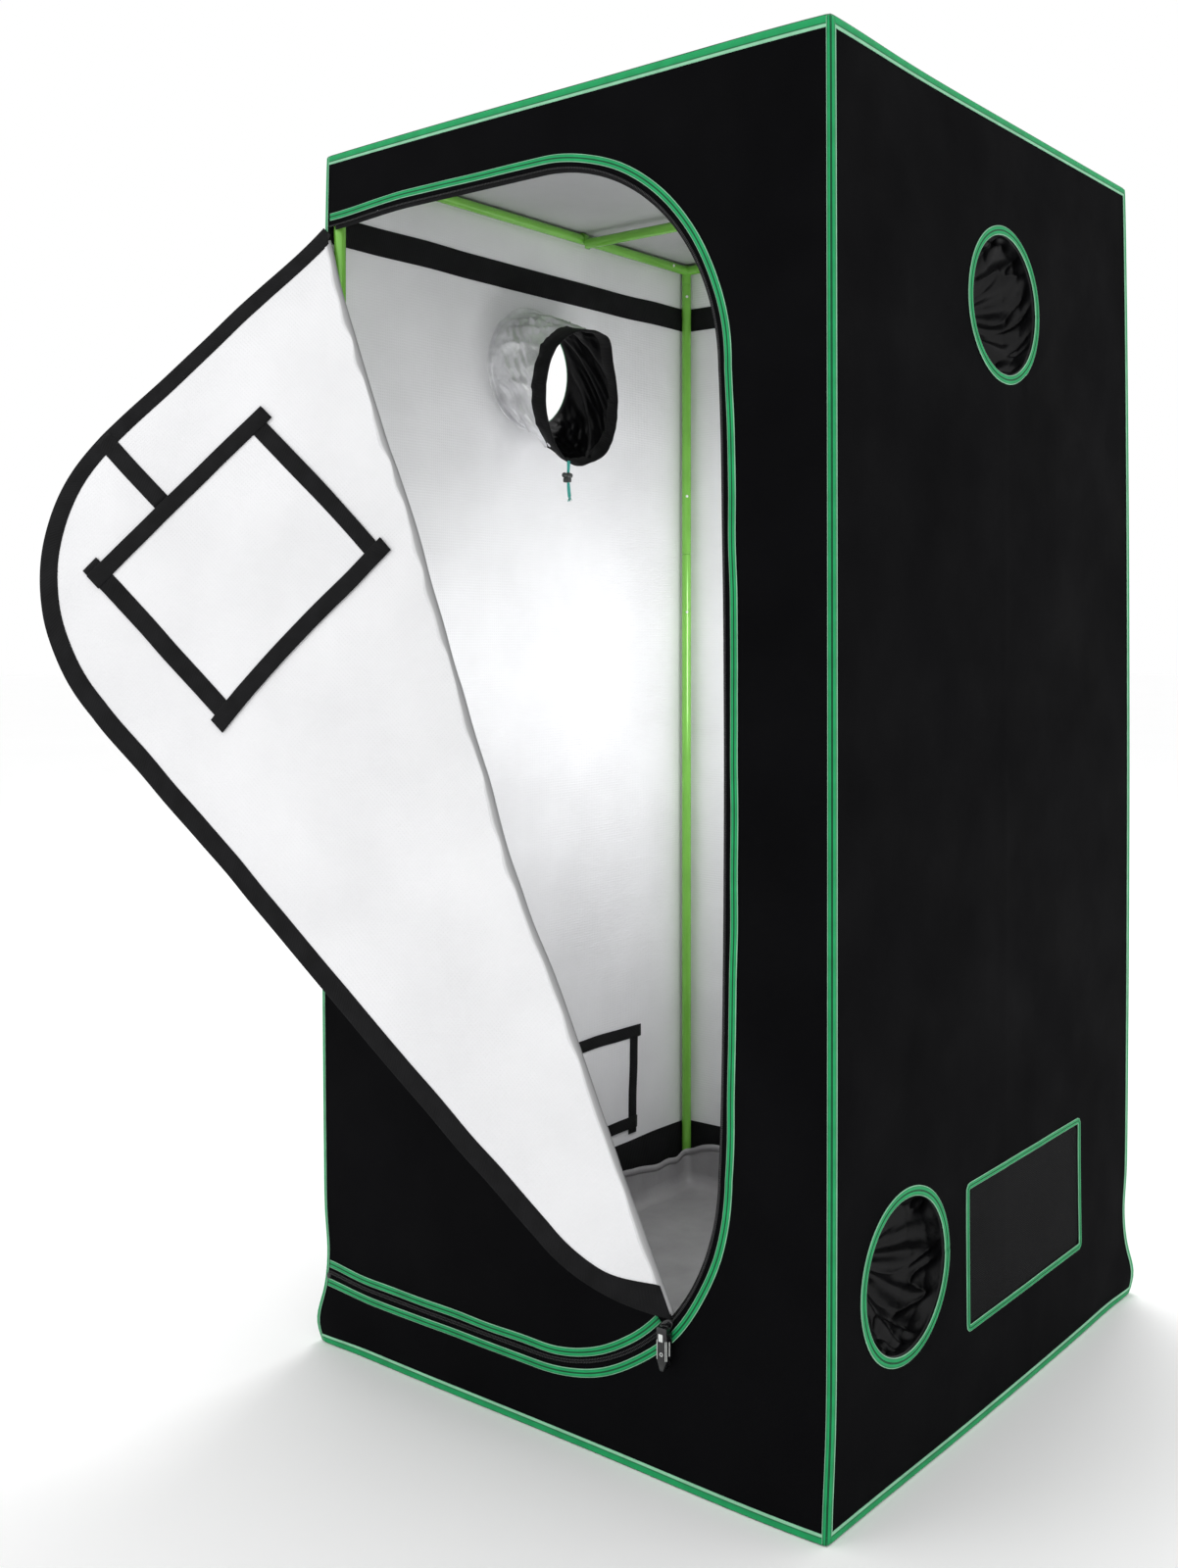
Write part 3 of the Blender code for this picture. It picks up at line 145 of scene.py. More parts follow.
class TentColours(bpy.types.PropertyGroup):
    """Colours of the tent's finishes"""

    outer: tint("Outer cloth", "Coated outer side of the cover", (0.0026, 0.0026, 0.0031))
    inner: tint("Inner film", "Reflective lining", (0.86, 0.86, 0.875))
    green: tint("Green tape", "Ground of the green tape", (0.008, 0.33, 0.105))
    light: tint("Light thread", "Light lines along the green tape", (0.3, 0.66, 0.42))
    dark: tint("Dark thread", "Stitched groove of the green tape", (0.001, 0.03, 0.012))
    pole: tint("Pole paint", "Paint of the poles", (0.19, 0.52, 0.065))
    webbing: tint("Webbing", "Black webbing and zip tape", (0.005, 0.005, 0.0056))
    tray: tint("Tray cloth", "Coated cloth of the floor tray", (0.31, 0.304, 0.31))
    cord: tint("Cord", "Yarn of the drawstring", (0.02, 0.42, 0.36))
    plastic: tint("Plastic", "Cord locks", (0.03, 0.035, 0.035))
    enamel: tint("Enamel", "Zip slider and pull", (0.008, 0.008, 0.009))


def sizes():
    """The tent's sizes as they are set in the scene."""
    return bpy.context.scene.tent_sizes


def colours():
    """The tent's colours as they are set in the scene."""
    return bpy.context.scene.tent_colours


# ---------------------------------------------------------------- grids and meshes


def stacked(*parts):
    """Arrays and single values, spread to one shape and set side by side in a last axis."""
    return np.stack(np.broadcast_arrays(*parts), -1)


def run_length(line):
    """How far along a line of points each one lies, from nought."""
    return np.concatenate(((0,), np.cumsum(np.linalg.norm(np.diff(line, axis=0), axis=1))))


def quads(rows, columns, loop=False):
    """Faces of a grid of rows by columns; with loop the last column joins the first."""
    i = np.arange(rows - 1)
    j = np.arange(columns if loop else columns - 1)
    i, j = np.meshgrid(i, j, indexing="ij")
    k, m = i + 1, (j + 1) % columns
    corners = (i * columns + j, i * columns + m, k * columns + m, k * columns + j)
    return np.stack(corners, -1).reshape(-1, 4)


def circle(steps):
    """Angles of even steps round a circle, without the one that closes it."""
    return np.linspace(0, 2 * np.pi, steps, endpoint=False)


def squared(turn, power):
    """Cosine and sine of a turn, pressed towards a square by a power of their sizes."""
    return [np.sign(part) * np.abs(part) ** power for part in (np.cos(turn), np.sin(turn))]


def gridded(points, uv, loop=True):
    """A surface (points, faces, uv) from a grid of points; with loop its last column joins."""
    return points.reshape(-1, 3), quads(*points.shape[:2], loop=loop), uv.reshape(-1, 2)


def joined(surfaces):
    """Several (points, faces, uv) as one, each face list shifted past the points before it."""
    points, faces, marks = [], [], []
    start = 0
    for surface, corners, uv in surfaces:
        surface = np.reshape(surface, (-1, 3))
        points.append(surface)
        marks.append(np.reshape(uv, (-1, 2)))
        faces += [[start + corner for corner in face] for face in np.asarray(corners, object)]
        start += len(surface)
    return np.concatenate(points), faces, np.concatenate(marks)


DOUBLES = 2e-6


def piece(
    name, surface, finishes, body="root", stands_for=(), wall=0.0, closed=False
):
    """A smooth mesh piece from (points, faces, uv) that rides on a body.

    finishes is one material or several; with a wall the second one faces inwards. Doubles are
    merged, and on a closed surface the normals are turned outwards.
    """
    points, faces, uv = surface
    points = np.reshape(points, (-1, 3))
    faces = [list(map(int, face)) for face in faces]
    mesh = bpy.data.meshes.new(name)
    mesh.from_pydata(points.tolist(), [], faces)
    corners = np.concatenate([np.asarray(face) for face in faces])
    layer = mesh.uv_layers.new(name="UVMap")
    layer.data.foreach_set("uv", np.reshape(uv, (-1, 2))[corners].ravel().astype(np.float32))
    work = bmesh.new()
    work.from_mesh(mesh)
    bmesh.ops.remove_doubles(work, verts=work.verts, dist=DOUBLES)
    if closed:
        bmesh.ops.recalc_face_normals(work, faces=work.faces)
    work.to_mesh(mesh)
    work.free()
    mesh.shade_smooth()
    made = bpy.data.objects.new(name, mesh)
    bpy.context.scene.collection.objects.link(made)
    for material in finishes if isinstance(finishes, list) else [finishes]:
        mesh.materials.append(material)
    if wall:
        shell = made.modifiers.new("wall", "SOLIDIFY")
        shell.thickness = wall
        shell.offset = -1
        shell.material_offset = len(mesh.materials) - 1
    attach(made, body)
    if stands_for:
        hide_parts(*stands_for)
    return made


def eased(share):
    """Rises smoothly from 0 to 1: three times the square less two times the cube."""
    share = np.clip(share, 0, 1)
    return share * share * (3 - 2 * share)


def hills(a, b, cell, seed):
    """Smooth random hills from -1 to 1: heights of a seeded lattice, eased between its points."""
    lattice = np.random.default_rng(seed).uniform(-1, 1, (61, 61))
    i, j = np.asarray(a) / cell, np.asarray(b) / cell
    low_i, low_j = np.floor(i).astype(int), np.floor(j).astype(int)
    share_i, share_j = eased(i - low_i), eased(j - low_j)

    def at(step_i, step_j):
        return lattice[(low_i + step_i) % 61, (low_j + step_j) % 61]

    near = at(0, 0) * (1 - share_i) + at(1, 0) * share_i
    far = at(0, 1) * (1 - share_i) + at(1, 1) * share_i
    return near * (1 - share_j) + far * share_j


def ridges(a, b, cell, seed):
    """Sharp crests between soft hollows: one less the root of the hills' height, from 0 to 1."""
    return 1 - np.sqrt(np.abs(hills(a, b, cell, seed)) + 0.002)


# ---------------------------------------------------------------- where the panels lie


# The slider's place from the tent's middle and the ground, and how far round it all is still
SLIDER = (0.184, 0.173)
SLIDER_CALM = 0.09
# The front wall's share of the swell at its middle
FRONT_SWELL = 0.35
# Heights of the bells at a wall's foot and at the near corner's foot
FOOT_RISE, NEAR_FOOT_RISE = 0.2, 0.09
# The two lower corners: height of their ears and of the hollow above them, and each one's spread
EAR_HEIGHT, EAR_SPREAD = 0.03, 0.035
HOLLOW_HEIGHT, HOLLOW_SPREAD = 0.125, 0.04


def bell(offset, spread):
    """A smooth bump: the falling exponential of the square of offset over spread."""
    return np.exp(-((offset / spread) ** 2))


def settled(points):
    """Bows the cover's points, which lie near a flat wall, outwards.

    A wall swells by a sine up it and by a bell at its foot, which is still at the wall's ends.
    The front swells less towards its middle, and not at all round the zip's slider. Two lower
    corners stand out. At the near corner the front's foot stands out and the top stands up. Low
    hills and packing creases lie on it, and all of it fades with the cube of the way from the
    tent's middle.
    """
    s = sizes()
    points = np.array(points, float)
    x, y, z = points[..., 0], points[..., 1], points[..., 2]
    u, v, w = x / (s.width / 2), y / (s.depth / 2), np.clip(z / s.height, 0, 1)
    rise = np.sin(np.pi * w) ** 0.7
    foot = s.skirt * bell(z, FOOT_RISE)
    ears = bell(z - EAR_HEIGHT, EAR_SPREAD) - 0.25 * bell(z - HOLLOW_HEIGHT, HOLLOW_SPREAD)
    ears = s.corner_ears * ears * bell(u - v, 0.13)
    away_from_slider = 1 - bell(np.hypot(x - SLIDER[0], z - SLIDER[1]), SLIDER_CALM)
    near = bell(v + 1, 0.35) * bell(u - 1, 0.6)
    shift = np.zeros(points.shape)
    for axis, across, seed in ((0, v, 3), (1, u, 11)):
        side = (u, v)[axis]
        inner = np.clip(1 - across**4, 0, 1)
        a = across * s.width / 2 + np.sign(side) * 4
        folds = hills(a, z, 0.23, seed) + 0.45 * hills(a, z, 0.09, seed + 1)
        crease = packing_creases(across * s.width / 2, z)
        if axis == 0:
            hold, calm, pushed = 1.0, 1.0, 0.0
            steady = np.where(side > 0, 1 - 0.8 * bell(v + 1, 0.6), 1)
        else:
            front = side < 0
            hold = np.where(front, 1 - (1 - FRONT_SWELL * away_from_slider) * inner, 1)
            calm = steady = np.where(front, away_from_slider, 1)
            crease = np.where(front, 0, crease)
            pushed = np.where(front, s.near_foot * bell(z, NEAR_FOOT_RISE) * near, 0)
        swell = s.swell * hold * rise + s.rumple * inner * (folds + crease) * rise * calm
        swell = swell + foot * inner * steady + ears + pushed
        shift[..., axis] = swell * np.clip(side, -1.02, 1.02) ** 3
    level = np.clip((w - 0.97) / 0.03, 0, 1)
    top = np.clip(1 - u**4, 0, 1) * np.clip(1 - v**4, 0, 1)
    sag = s.rumple * (hills(x + 9, y + 9, 0.17, 23) - 1.2)
    ridge = s.ridge * np.clip(1 - u**2, 0, 1) * bell(v + 1, 0.3)
    shift[..., 2] = level * (top * sag + ridge + s.near_top * near)
    return rounded(points) + shift


def rounded(points):
    """Rounds the cover's edges: past an inner box, the largest step becomes the distance."""
    s = sizes()
    reach = np.array((s.width / 2, s.depth / 2, s.height / 2)) - s.rounding
    middle = np.array((0, 0, s.height / 2))
    core = np.clip(points - middle, -reach, reach) + middle
    past = points - core
    largest = np.abs(past).max(axis=-1, keepdims=True)
    distance = np.linalg.norm(past, axis=-1, keepdims=True)
    return core + past * largest / np.maximum(distance, 1e-9)


def packing_creases(a, z):
    """Faint crests where the cover was folded for packing: narrow bells along a few lines."""
    slant = (z - 1.309 - 0.9 * (a - 0.1)) / 3 + (a < 0.06) + (z < 1.25)
    lines = (a, z - 0.42, z - 0.83, z - 1.25 - 0.04 * (a + 0.3), slant)
    heights = (0.35, 0.5, 0.45, 0.5, 1.1)
    total = 0
    for line, height in zip(lines, heights):
        total = total + height * bell(line, 0.007)
    return total


def closed_front(x, z, out):
    """The front wall's place with no swell, for what turns with the door."""
    s = sizes()
    return stacked(x - s.width / 2, -s.depth / 2 - out, z)


def wall_front(x, z, out):
    """The front wall's place, as it bows outwards."""
    return settled(closed_front(x, z, out))


def wall_back(x, z, out):
    """The back wall's place."""
    s = sizes()
    return settled(stacked(x - s.width / 2, s.depth / 2 + out, z))


def wall_right(y, z, out):
    """The right wall's place."""
    s = sizes()
    return settled(stacked(s.width / 2 + out, y - s.depth / 2, z))


def wall_left(y, z, out):
    """The left wall's place."""
    s = sizes()
    return settled(stacked(-s.width / 2 - out, y - s.depth / 2, z))


def roof(x, y, out):
    """The roof's place."""
    s = sizes()
    return settled(stacked(x - s.width / 2, y - s.depth / 2, s.height + out))


def floor(x, y, out):
    """The place of the floor panel."""
    s = sizes()
    return settled(stacked(x - s.width / 2, y - s.depth / 2, -out))


# ---------------------------------------------------------------- the door's fold and zip

# The fold's axis stands this far out of the wall, starts this far below the zip's upper run, and
# ends at this angle of the zip's lower arc; the flap is turned about it by the open angle
HINGE_PROUD = 0.001
FOLD_DROP = 0.027
FOLD_END_ANGLE = math.radians(-40.5)
OPEN_ANGLE = math.radians(150.5)
# Where the zip and the fold begin, from the tent's left
DOOR_LEFT = 0.0075
# How far the cloth bends round behind the crease
BEND_RADIUS = 0.0028
# How far from the fold the crease's bow has faded
CREASE_FADE = 0.12
# The crease's bow: share of the way down the fold, share of its greatest bow
CREASE_BOW_SHARES = (
    (0, 0), (0.05, 0.38), (0.14, 0.5), (0.24, 0.46), (0.3, 0.38), (0.36, 0.56), (0.45, 0.78),
    (0.51, 0.87), (0.575, 0.86), (0.635, 1), (0.67, 0.94), (0.71, 0.68), (0.775, 0.53),
    (0.85, 0.45), (0.9, 0.34), (0.95, 0.2), (1, 0.05),
)
# The bow goes into the wall's plane and out of it, by these shares of what the eye sees
BOW_ACROSS, BOW_OUT = 0.536, -0.499
# The open flap's drape, lifted off its plane, along its fold and away from it: metres for each
# product of the places along (a) and away (b), which are b, a b, a a b, b b, a b b and b b b
FLAP_DRAPE = (
    (-0.0392, 0.1848, -0.0897, 0.0483, -0.4561, 0.1393),
    (0.097, -0.2702, 0.0894, -0.3254, 0.7546, 0.163),
    (0.0955, -0.1374, 0.0613, -0.3897, 0.0617, 0.5314),
)


def zip_lengths():
    """Distances along the zip at which its straights and arcs meet."""
    s = sizes()
    flat = s.zip_right - s.zip_radius
    turn = s.zip_radius * math.pi / 2
    upright = s.zip_top - s.zip_bottom - 2 * s.zip_radius
    return np.cumsum([0, flat, turn, upright, turn, flat])


def zip_curve(distance):
    """The zip's points and outward normals at distances from its low left end.

    A centre runs right, stands, climbs, stands and runs left while the normal turns from down
    to right to up. The zip lies one corner radius from that centre along the normal.
    """
    s = sizes()
    stops = zip_lengths()
    right = s.zip_right - s.zip_radius
    low, high = s.zip_bottom + s.zip_radius, s.zip_top - s.zip_radius
    centre_x = np.interp(distance, stops, (0, right, right, right, right, 0))
    centre_z = np.interp(distance, stops, (low, low, low, high, high, high))
    turn = np.interp(distance, stops, np.radians((-90, -90, 0, 0, 90, 90)))
    normal = stacked(np.cos(turn), np.sin(turn))
    reach = s.zip_radius + zip_bow(centre_z)
    line = stacked(centre_x, centre_z) + reach[..., None] * normal
    line[..., 1] += zip_sag(line[..., 0], line[..., 1])
    return line, normal


def zip_sag(x, z):
    """How far the zip's level runs leave their height near the tent's left edge."""
    middle = (sizes().zip_bottom + sizes().zip_top) / 2
    return np.where(z > middle, -0.0075 * eased(1 - x / 0.16), 0.004 * eased(1 - x / 0.1))


def zip_bow(z):
    """How far the zip's upright side bows outwards: a sine between its two arcs."""
    s = sizes()
    low, high = s.zip_bottom + s.zip_radius, s.zip_top - s.zip_radius
    share = np.clip((z - low) / (high - low), 0, 1)
    return s.zip_bow * np.sin(np.pi * share) ** 0.7


def fold_at():
    """The fold line's start, its direction, the direction across it into the door, its length."""
    s = sizes()
    start = np.array((DOOR_LEFT, s.zip_top - FOLD_DROP))
    end = zip_curve(zip_distance(FOLD_END_ANGLE))[0]
    span = np.hypot(*(end - start))
    way = (end - start) / span
    return start, way, np.array((-way[1], way[0])), span


def zip_distance(angle):
    """How far along the zip an angle of its lower arc lies."""
    s = sizes()
    return zip_lengths()[1] + s.zip_radius * (math.pi / 2 + angle)


def crease_bow(share):
    """The crease's bow at shares of the fold's length, with a small ripple."""
    stops, bows = zip(*CREASE_BOW_SHARES)
    fine = np.linspace(0, 1, 201)
    smooth = np.convolve(np.pad(np.interp(fine, stops, bows), 6, "edge"), np.ones(13) / 13, "valid")
    ripple = 0.0016 * hills(share * 1.4, 0 * share, 0.07, 5) * np.sin(np.pi * np.clip(share, 0, 1))
    return -sizes().crease_bow * np.interp(share, fine, smooth) + ripple


def fold_places(x, z):
    """How far places on the front lie down the fold and away from it, into the door."""
    start, way, across, _ = fold_at()
    along = (x - start[0]) * way[0] + (z - start[1]) * way[1]
    return along, (x - start[0]) * across[0] + (z - start[1]) * across[1]


def flap(x, z, out):
    """Carries a place on the closed door to the flap as it hangs open.

    Low waves and its drape move it, it turns about the fold by the open angle, and near the
    fold it follows the crease's bow, which fades away from the fold.
    """
    start, way, across, span = fold_at()
    x, z, out = np.broadcast_arrays(np.asarray(x, float), z, out)
    along, away = fold_places(x, z)
    a, b = along, np.maximum(away, 0)
    shares = stacked(b, a * b, a * a * b, b * b, a * b * b, b**3)
    drape, slide, widen = np.moveaxis(shares @ np.array(FLAP_DRAPE).T, -1, 0)
    lift = billow(along, away) + drape
    x = x + slide * way[0] + widen * across[0]
    z = z + slide * way[1] + widen * across[1]
    flat = closed_front(x, z, out - lift)
    pivot = closed_front(start[0], start[1], HINGE_PROUD)
    axis = np.array((way[0], 0, way[1]))
    turned = turn_about(flat - pivot, axis, OPEN_ANGLE) + pivot
    bow = crease_bow(along / span) * (1 - eased(away / CREASE_FADE))
    return turned + bow[..., None] * bow_way(across)


def bow_way(across):
    """The way the crease is moved for each metre of its bow."""
    return np.array((BOW_ACROSS * across[0], -BOW_OUT, BOW_ACROSS * across[1]))


def below_fold(x, z, out):
    """The front wall's place for the zipped part of the door, with no swell at the fold."""
    along, away = fold_places(x, z)
    away = -away
    bow = crease_bow(along / fold_at()[3])
    lift = BOW_OUT * bow * (1 - eased((away + BOW_ACROSS * bow) / CREASE_FADE))
    flat = closed_front(x, z, out + lift)
    return flat + (wall_front(x, z, out) - flat) * eased((away - 0.01) / 0.12)[..., None]


def beside_fold(x, z, out):
    """The flap's place for a tape that is cut off along the fold."""
    start, _, across, _ = fold_at()
    short = np.maximum(0.0004 - fold_places(x, z)[1], 0) * (z < start[1])
    return flap(x + short * across[0], z + short * across[1], out)


def billow(along, away):
    """Soft waves of the flap: long hills that run down it, still at the fold."""
    s = sizes()
    fade = eased((away - 0.01) / 0.14)
    wave = hills(along, away + 3, 0.38, 31) + 0.35 * hills(along + 0.4 * away, away, 0.15, 32)
    fine = 0.12 * ridges(along + 0.6 * away, away - 0.2 * along, 0.11, 33)
    return s.billow * fade * (0.8 * wave + fine)


def turn_about(points, axis, angle):
    """Turns points about an axis through the origin, by Rodrigues' formula."""
    cross = np.cross(axis, points)
    dot = (points @ axis)[..., None] * axis
    return points * math.cos(angle) + cross * math.sin(angle) + dot * (1 - math.cos(angle))


# ---------------------------------------------------------------- holes in panels


def round_hole(centre, radius):
    """Distance outside a circle, negative inside."""
    return lambda a, b: np.hypot(a - centre[0], b - centre[1]) - radius


def square_hole(left, bottom, right, top, corner):
    """Distance outside a rectangle with rounded corners, negative inside."""
    middle = ((left + right) / 2, (bottom + top) / 2)
    half = ((right - left) / 2 - corner, (top - bottom) / 2 - corner)

    def distance(a, b):
        past_a = np.abs(a - middle[0]) - half[0]
        past_b = np.abs(b - middle[1]) - half[1]
        outside = np.hypot(np.maximum(past_a, 0), np.maximum(past_b, 0))
        return outside + np.minimum(np.maximum(past_a, past_b), 0) - corner

    return distance


def cloth(a, b, place, holes=(), out=0.0, flip=False):
    """A panel over grids a and b, with holes: cells inside go, and their rims slide onto the hole.

    A point inside a hole moves out along the slope of the hole's distance.
    """
    a, b = np.array(a, float), np.array(b, float)
    keep = np.ones((a.shape[0] - 1) * (a.shape[1] - 1), bool)
    faces = quads(*a.shape)
    step = 1e-5
    for hole in holes:
        inside = hole(a, b).ravel() < 0
        keep &= ~inside[faces].all(axis=1)
        for _ in range(2):
            gap = np.minimum(hole(a, b), 0)
            slope_a = (hole(a + step, b) - hole(a - step, b)) / (2 * step)
            slope_b = (hole(a, b + step) - hole(a, b - step)) / (2 * step)
            a, b = a - gap * slope_a, b - gap * slope_b
    faces = faces[keep]
    used, faces = np.unique(faces, return_inverse=True)
    faces = faces.reshape(-1, 4)
    points = np.reshape(place(a, b, out), (-1, 3))[used]
    uv = stacked(a.ravel(), b.ravel())[used]
    return points, faces[:, ::-1] if flip else faces, uv


def rectangle_grid(left, bottom, right, top, cell):
    """Even grids over a rectangle, as the two flat coordinates of its points."""
    a = np.linspace(left, right, round((right - left) / cell) + 1)
    b = np.linspace(bottom, top, round((top - bottom) / cell) + 1)
    return np.meshgrid(a, b, indexing="ij")


def ruled_grid(first, second, rows):
    """Grids that go straight from each point of one line to its partner on the other."""
    share = np.linspace(0, 1, rows)[:, None]
    both = first[None] * (1 - share[..., None]) + second[None] * share[..., None]
    return both[..., 0], both[..., 1]


# ---------------------------------------------------------------- tapes and tubes

# Sections of flat strips: shares of the width in one row, shares of the thickness in the other
STITCHED = tuple(
    zip((0, 0, 0.06, 0.42, 0.5, 0.58, 0.94, 1, 1), (0, 0.6, 1, 0.9, 0.4, 0.9, 1, 0.6, 0))
)
PLAIN = tuple(zip((0, 0, 0.04, 0.35, 0.65, 0.96, 1, 1), (0, 0.6, 1, 0.94, 0.94, 1, 0.6, 0)))


def capped(surface, rows, columns):
    """A tube with a flat face on each end."""
    points, faces, uv = surface
    faces = np.asarray(faces).tolist()
    faces.append(list(range(columns)))
    faces.append([(rows - 1) * columns + i for i in reversed(range(columns))])
    return points, faces, uv


def swept(sections, uv):
    """Closed sections carried along a path, with flat caps: rows of points, one row a section."""
    return capped(gridded(sections, uv), *sections.shape[:2])


def strip(place, line, aside, near, far, lift, thick, profile=STITCHED, wobble=0.0, seed=1):
    """A tape on a panel: a flat section from near to far of a line, measured along aside.

    wobble lets the tape wander sideways by soft hills along its length.
    """
    profile = np.array(profile)
    reach = run_length(line)
    shift = wobble * hills(reach, reach * 0, 0.06, seed)
    offset = near + profile[None, :, 0] * (far - near) + shift[:, None]
    flat = line[:, None] + offset[..., None] * aside[:, None]
    out = np.broadcast_to(lift + profile[None, :, 1] * thick, offset.shape)
    points = place(flat[..., 0], flat[..., 1], out)
    uv = stacked(profile[None, :, 0], reach[:, None])
    return swept(points, uv)


def straight(start, end, step=0.006):
    """Points of a straight line and the direction to its right, for a strip."""
    start, end = np.array(start, float), np.array(end, float)
    span = np.hypot(*(end - start))
    share = np.linspace(0, 1, max(2, round(span / step) + 1))[:, None]
    way = (end - start) / span
    line = start + share * (end - start)
    return line, np.broadcast_to((way[1], -way[0]), line.shape)


def ring_line(centre, radius, steps=96):
    """Points of a circle and the directions outwards, the last on the first."""
    turn = np.linspace(0, 2 * np.pi, steps + 1)
    aside = stacked(np.cos(turn), np.sin(turn))
    return np.array(centre) + radius * aside, aside


def rounded_line(left, bottom, right, top, corner, step=0.006):
    """A rounded rectangle and its outward normals, as a corner centre that travels and turns."""
    turn = corner * math.pi / 2
    stops, x, z, angle = [0], [right - corner], [bottom + corner], [0]
    legs = (
        (right - corner, top - corner, 0), (left + corner, top - corner, 90),
        (left + corner, bottom + corner, 180), (right - corner, bottom + corner, 270),
    )
    for leg_x, leg_z, degrees in legs:
        stops.append(stops[-1] + abs(leg_x - x[-1]) + abs(leg_z - z[-1]))
        stops.append(stops[-1] + turn)
        x += [leg_x, leg_x]
        z += [leg_z, leg_z]
        angle += [degrees, degrees + 90]
    distance = np.linspace(0, stops[-1], round(stops[-1] / step) + 1)
    way = np.radians(np.interp(distance, stops, angle))
    aside = stacked(np.cos(way), np.sin(way))
    centre = stacked(np.interp(distance, stops, x), np.interp(distance, stops, z))
    return centre + corner * aside, aside


# A direction that no straight pole lies along
ASLANT = (0.31, 0.87, 0.38)


def tube(path, radii, sides=28, guide=ASLANT):
    """A round tube: each point of the path carries a circle square to the path.

    A radius of nought at either end closes the tube in a point.
    """
    path = np.asarray(path, float)
    way = np.gradient(path, axis=0)
    way /= np.linalg.norm(way, axis=1)[:, None]
    side = np.cross(way, guide)
    side /= np.linalg.norm(side, axis=1)[:, None]
    up = np.cross(side, way)
    turn = circle(sides)
    ring = np.cos(turn)[:, None] * side[:, None] + np.sin(turn)[:, None] * up[:, None]
    radii = np.broadcast_to(radii, (len(path),))
    points = path[:, None] + radii[:, None, None] * ring
    return gridded(points, stacked(turn[None] / (2 * np.pi), run_length(path)[:, None]))


def rod(start, end, radius, lip=0.0006, sides=28):
    """A straight tube with rounded ends."""
    start, end = np.array(start, float), np.array(end, float)
    span = np.linalg.norm(end - start)
    stops = np.array((0, 0, lip * 0.3, lip, 2 * lip, span / 2))
    stops = np.concatenate((stops, span - stops[::-1][1:]))
    radii = np.array((0, radius - lip, radius - 0.3 * lip, radius, radius, radius))
    radii = np.concatenate((radii, radii[::-1][1:]))
    stops = np.maximum.accumulate(stops + np.arange(len(stops)) * 1e-7)
    way = (end - start) / span
    guide = ASLANT if abs(way @ np.array(ASLANT)) < 0.9 else (1, 0, 0)
    return tube(start + stops[:, None] * way, radii, sides, guide)


def ball(centre, radii, rows=14, columns=20):
    """An ellipsoid about a centre: sines and cosines of two turns times its three radii."""
    tilt = np.linspace(0, np.pi, rows)[:, None]
    turn = circle(columns)[None]
    unit = stacked(np.sin(tilt) * np.cos(turn), np.sin(tilt) * np.sin(turn), np.cos(tilt))
    points = np.array(centre) + unit * np.array(radii)
    return gridded(points, stacked(turn / (2 * np.pi), tilt / np.pi))


def beads(place, distance, offset, radii, out):
    """Zip teeth: one small ellipsoid at each distance along the zip, laid across it."""
    points, faces, uv = ball((0, 0, 0), radii, rows=5, columns=8)
    centre, normal = zip_curve(distance)
    way = stacked(-normal[:, 1], normal[:, 0])
    flat = centre[:, None] + (offset + points[None, :, :1]) * normal[:, None]
    flat = flat + points[None, :, 1:2] * way[:, None]
    proud = out + np.broadcast_to(points[None, :, 2], flat.shape[:2])
    placed = place(flat[..., 0], flat[..., 1], proud).reshape(-1, 3)
    count = len(centre)
    shift = np.arange(count)[:, None, None] * len(points)
    return placed, (faces[None] + shift).reshape(-1, 4), np.tile(uv, (count, 1))


# ---------------------------------------------------------------- finishes


def add(tree, kind, inputs=None, **settings):
    """A node with its settings, its sockets set to values or linked to other sockets."""
    made = tree.nodes.new(kind)
    for name, value in settings.items():
        setattr(made, name, value)
    for name, value in (inputs or {}).items():
        if isinstance(value, bpy.types.NodeSocket):
            tree.links.new(value, made.inputs[name])
        else:
            made.inputs[name].default_value = value
    return made


def new_finish(name, roughness, metallic=0.0, **sockets):
    """A Principled material, its tree and its shader, with constants on the shader's sockets."""
    made = bpy.data.materials.new(name)
    made.use_nodes = True
    tree = made.node_tree
    shader = tree.nodes["Principled BSDF"]
    shader.inputs["Roughness"].default_value = roughness
    shader.inputs["Metallic"].default_value = metallic
    for socket, value in sockets.items():
        shader.inputs[socket.replace("_", " ")].default_value = value
    return made, tree, shader


def rgba(colour, factor=1.0):
    """A colour times a factor, held below one, with full cover."""
    return (*(min(1.0, channel * factor) for channel in colour), 1.0)


def ramp(tree, share, stops):
    """A colour ramp with stops of (position, colour)."""
    made = add(tree, "ShaderNodeValToRGB", {"Fac": share})
    elements = made.color_ramp.elements
    while len(elements) < len(stops):
        elements.new(0.5)
    for element, (position, colour) in zip(elements, stops):
        element.position = position
        element.color = colour
    return made.outputs["Color"]


def flat_coordinates(tree, scale):
    """The piece's own flat coordinates in metres, times a scale."""
    uv = add(tree, "ShaderNodeUVMap", uv_map="UVMap")
    stretch = add(tree, "ShaderNodeMapping", {"Vector": uv.outputs["UV"], "Scale": scale})
    return stretch.outputs["Vector"]


def across_piece(tree):
    """The share of the way across a tape or strip, from its flat coordinates."""
    uv = add(tree, "ShaderNodeUVMap", uv_map="UVMap").outputs["UV"]
    return add(tree, "ShaderNodeSeparateXYZ", {"Vector": uv}).outputs["X"]


def slanting_ribs(tree, stretch, scale):
    """Bands of sines that slant across the piece's stretched flat coordinates."""
    inputs = {"Vector": flat_coordinates(tree, stretch), "Scale": scale}
    return add(tree, "ShaderNodeTexWave", inputs, bands_direction="DIAGONAL").outputs["Fac"]


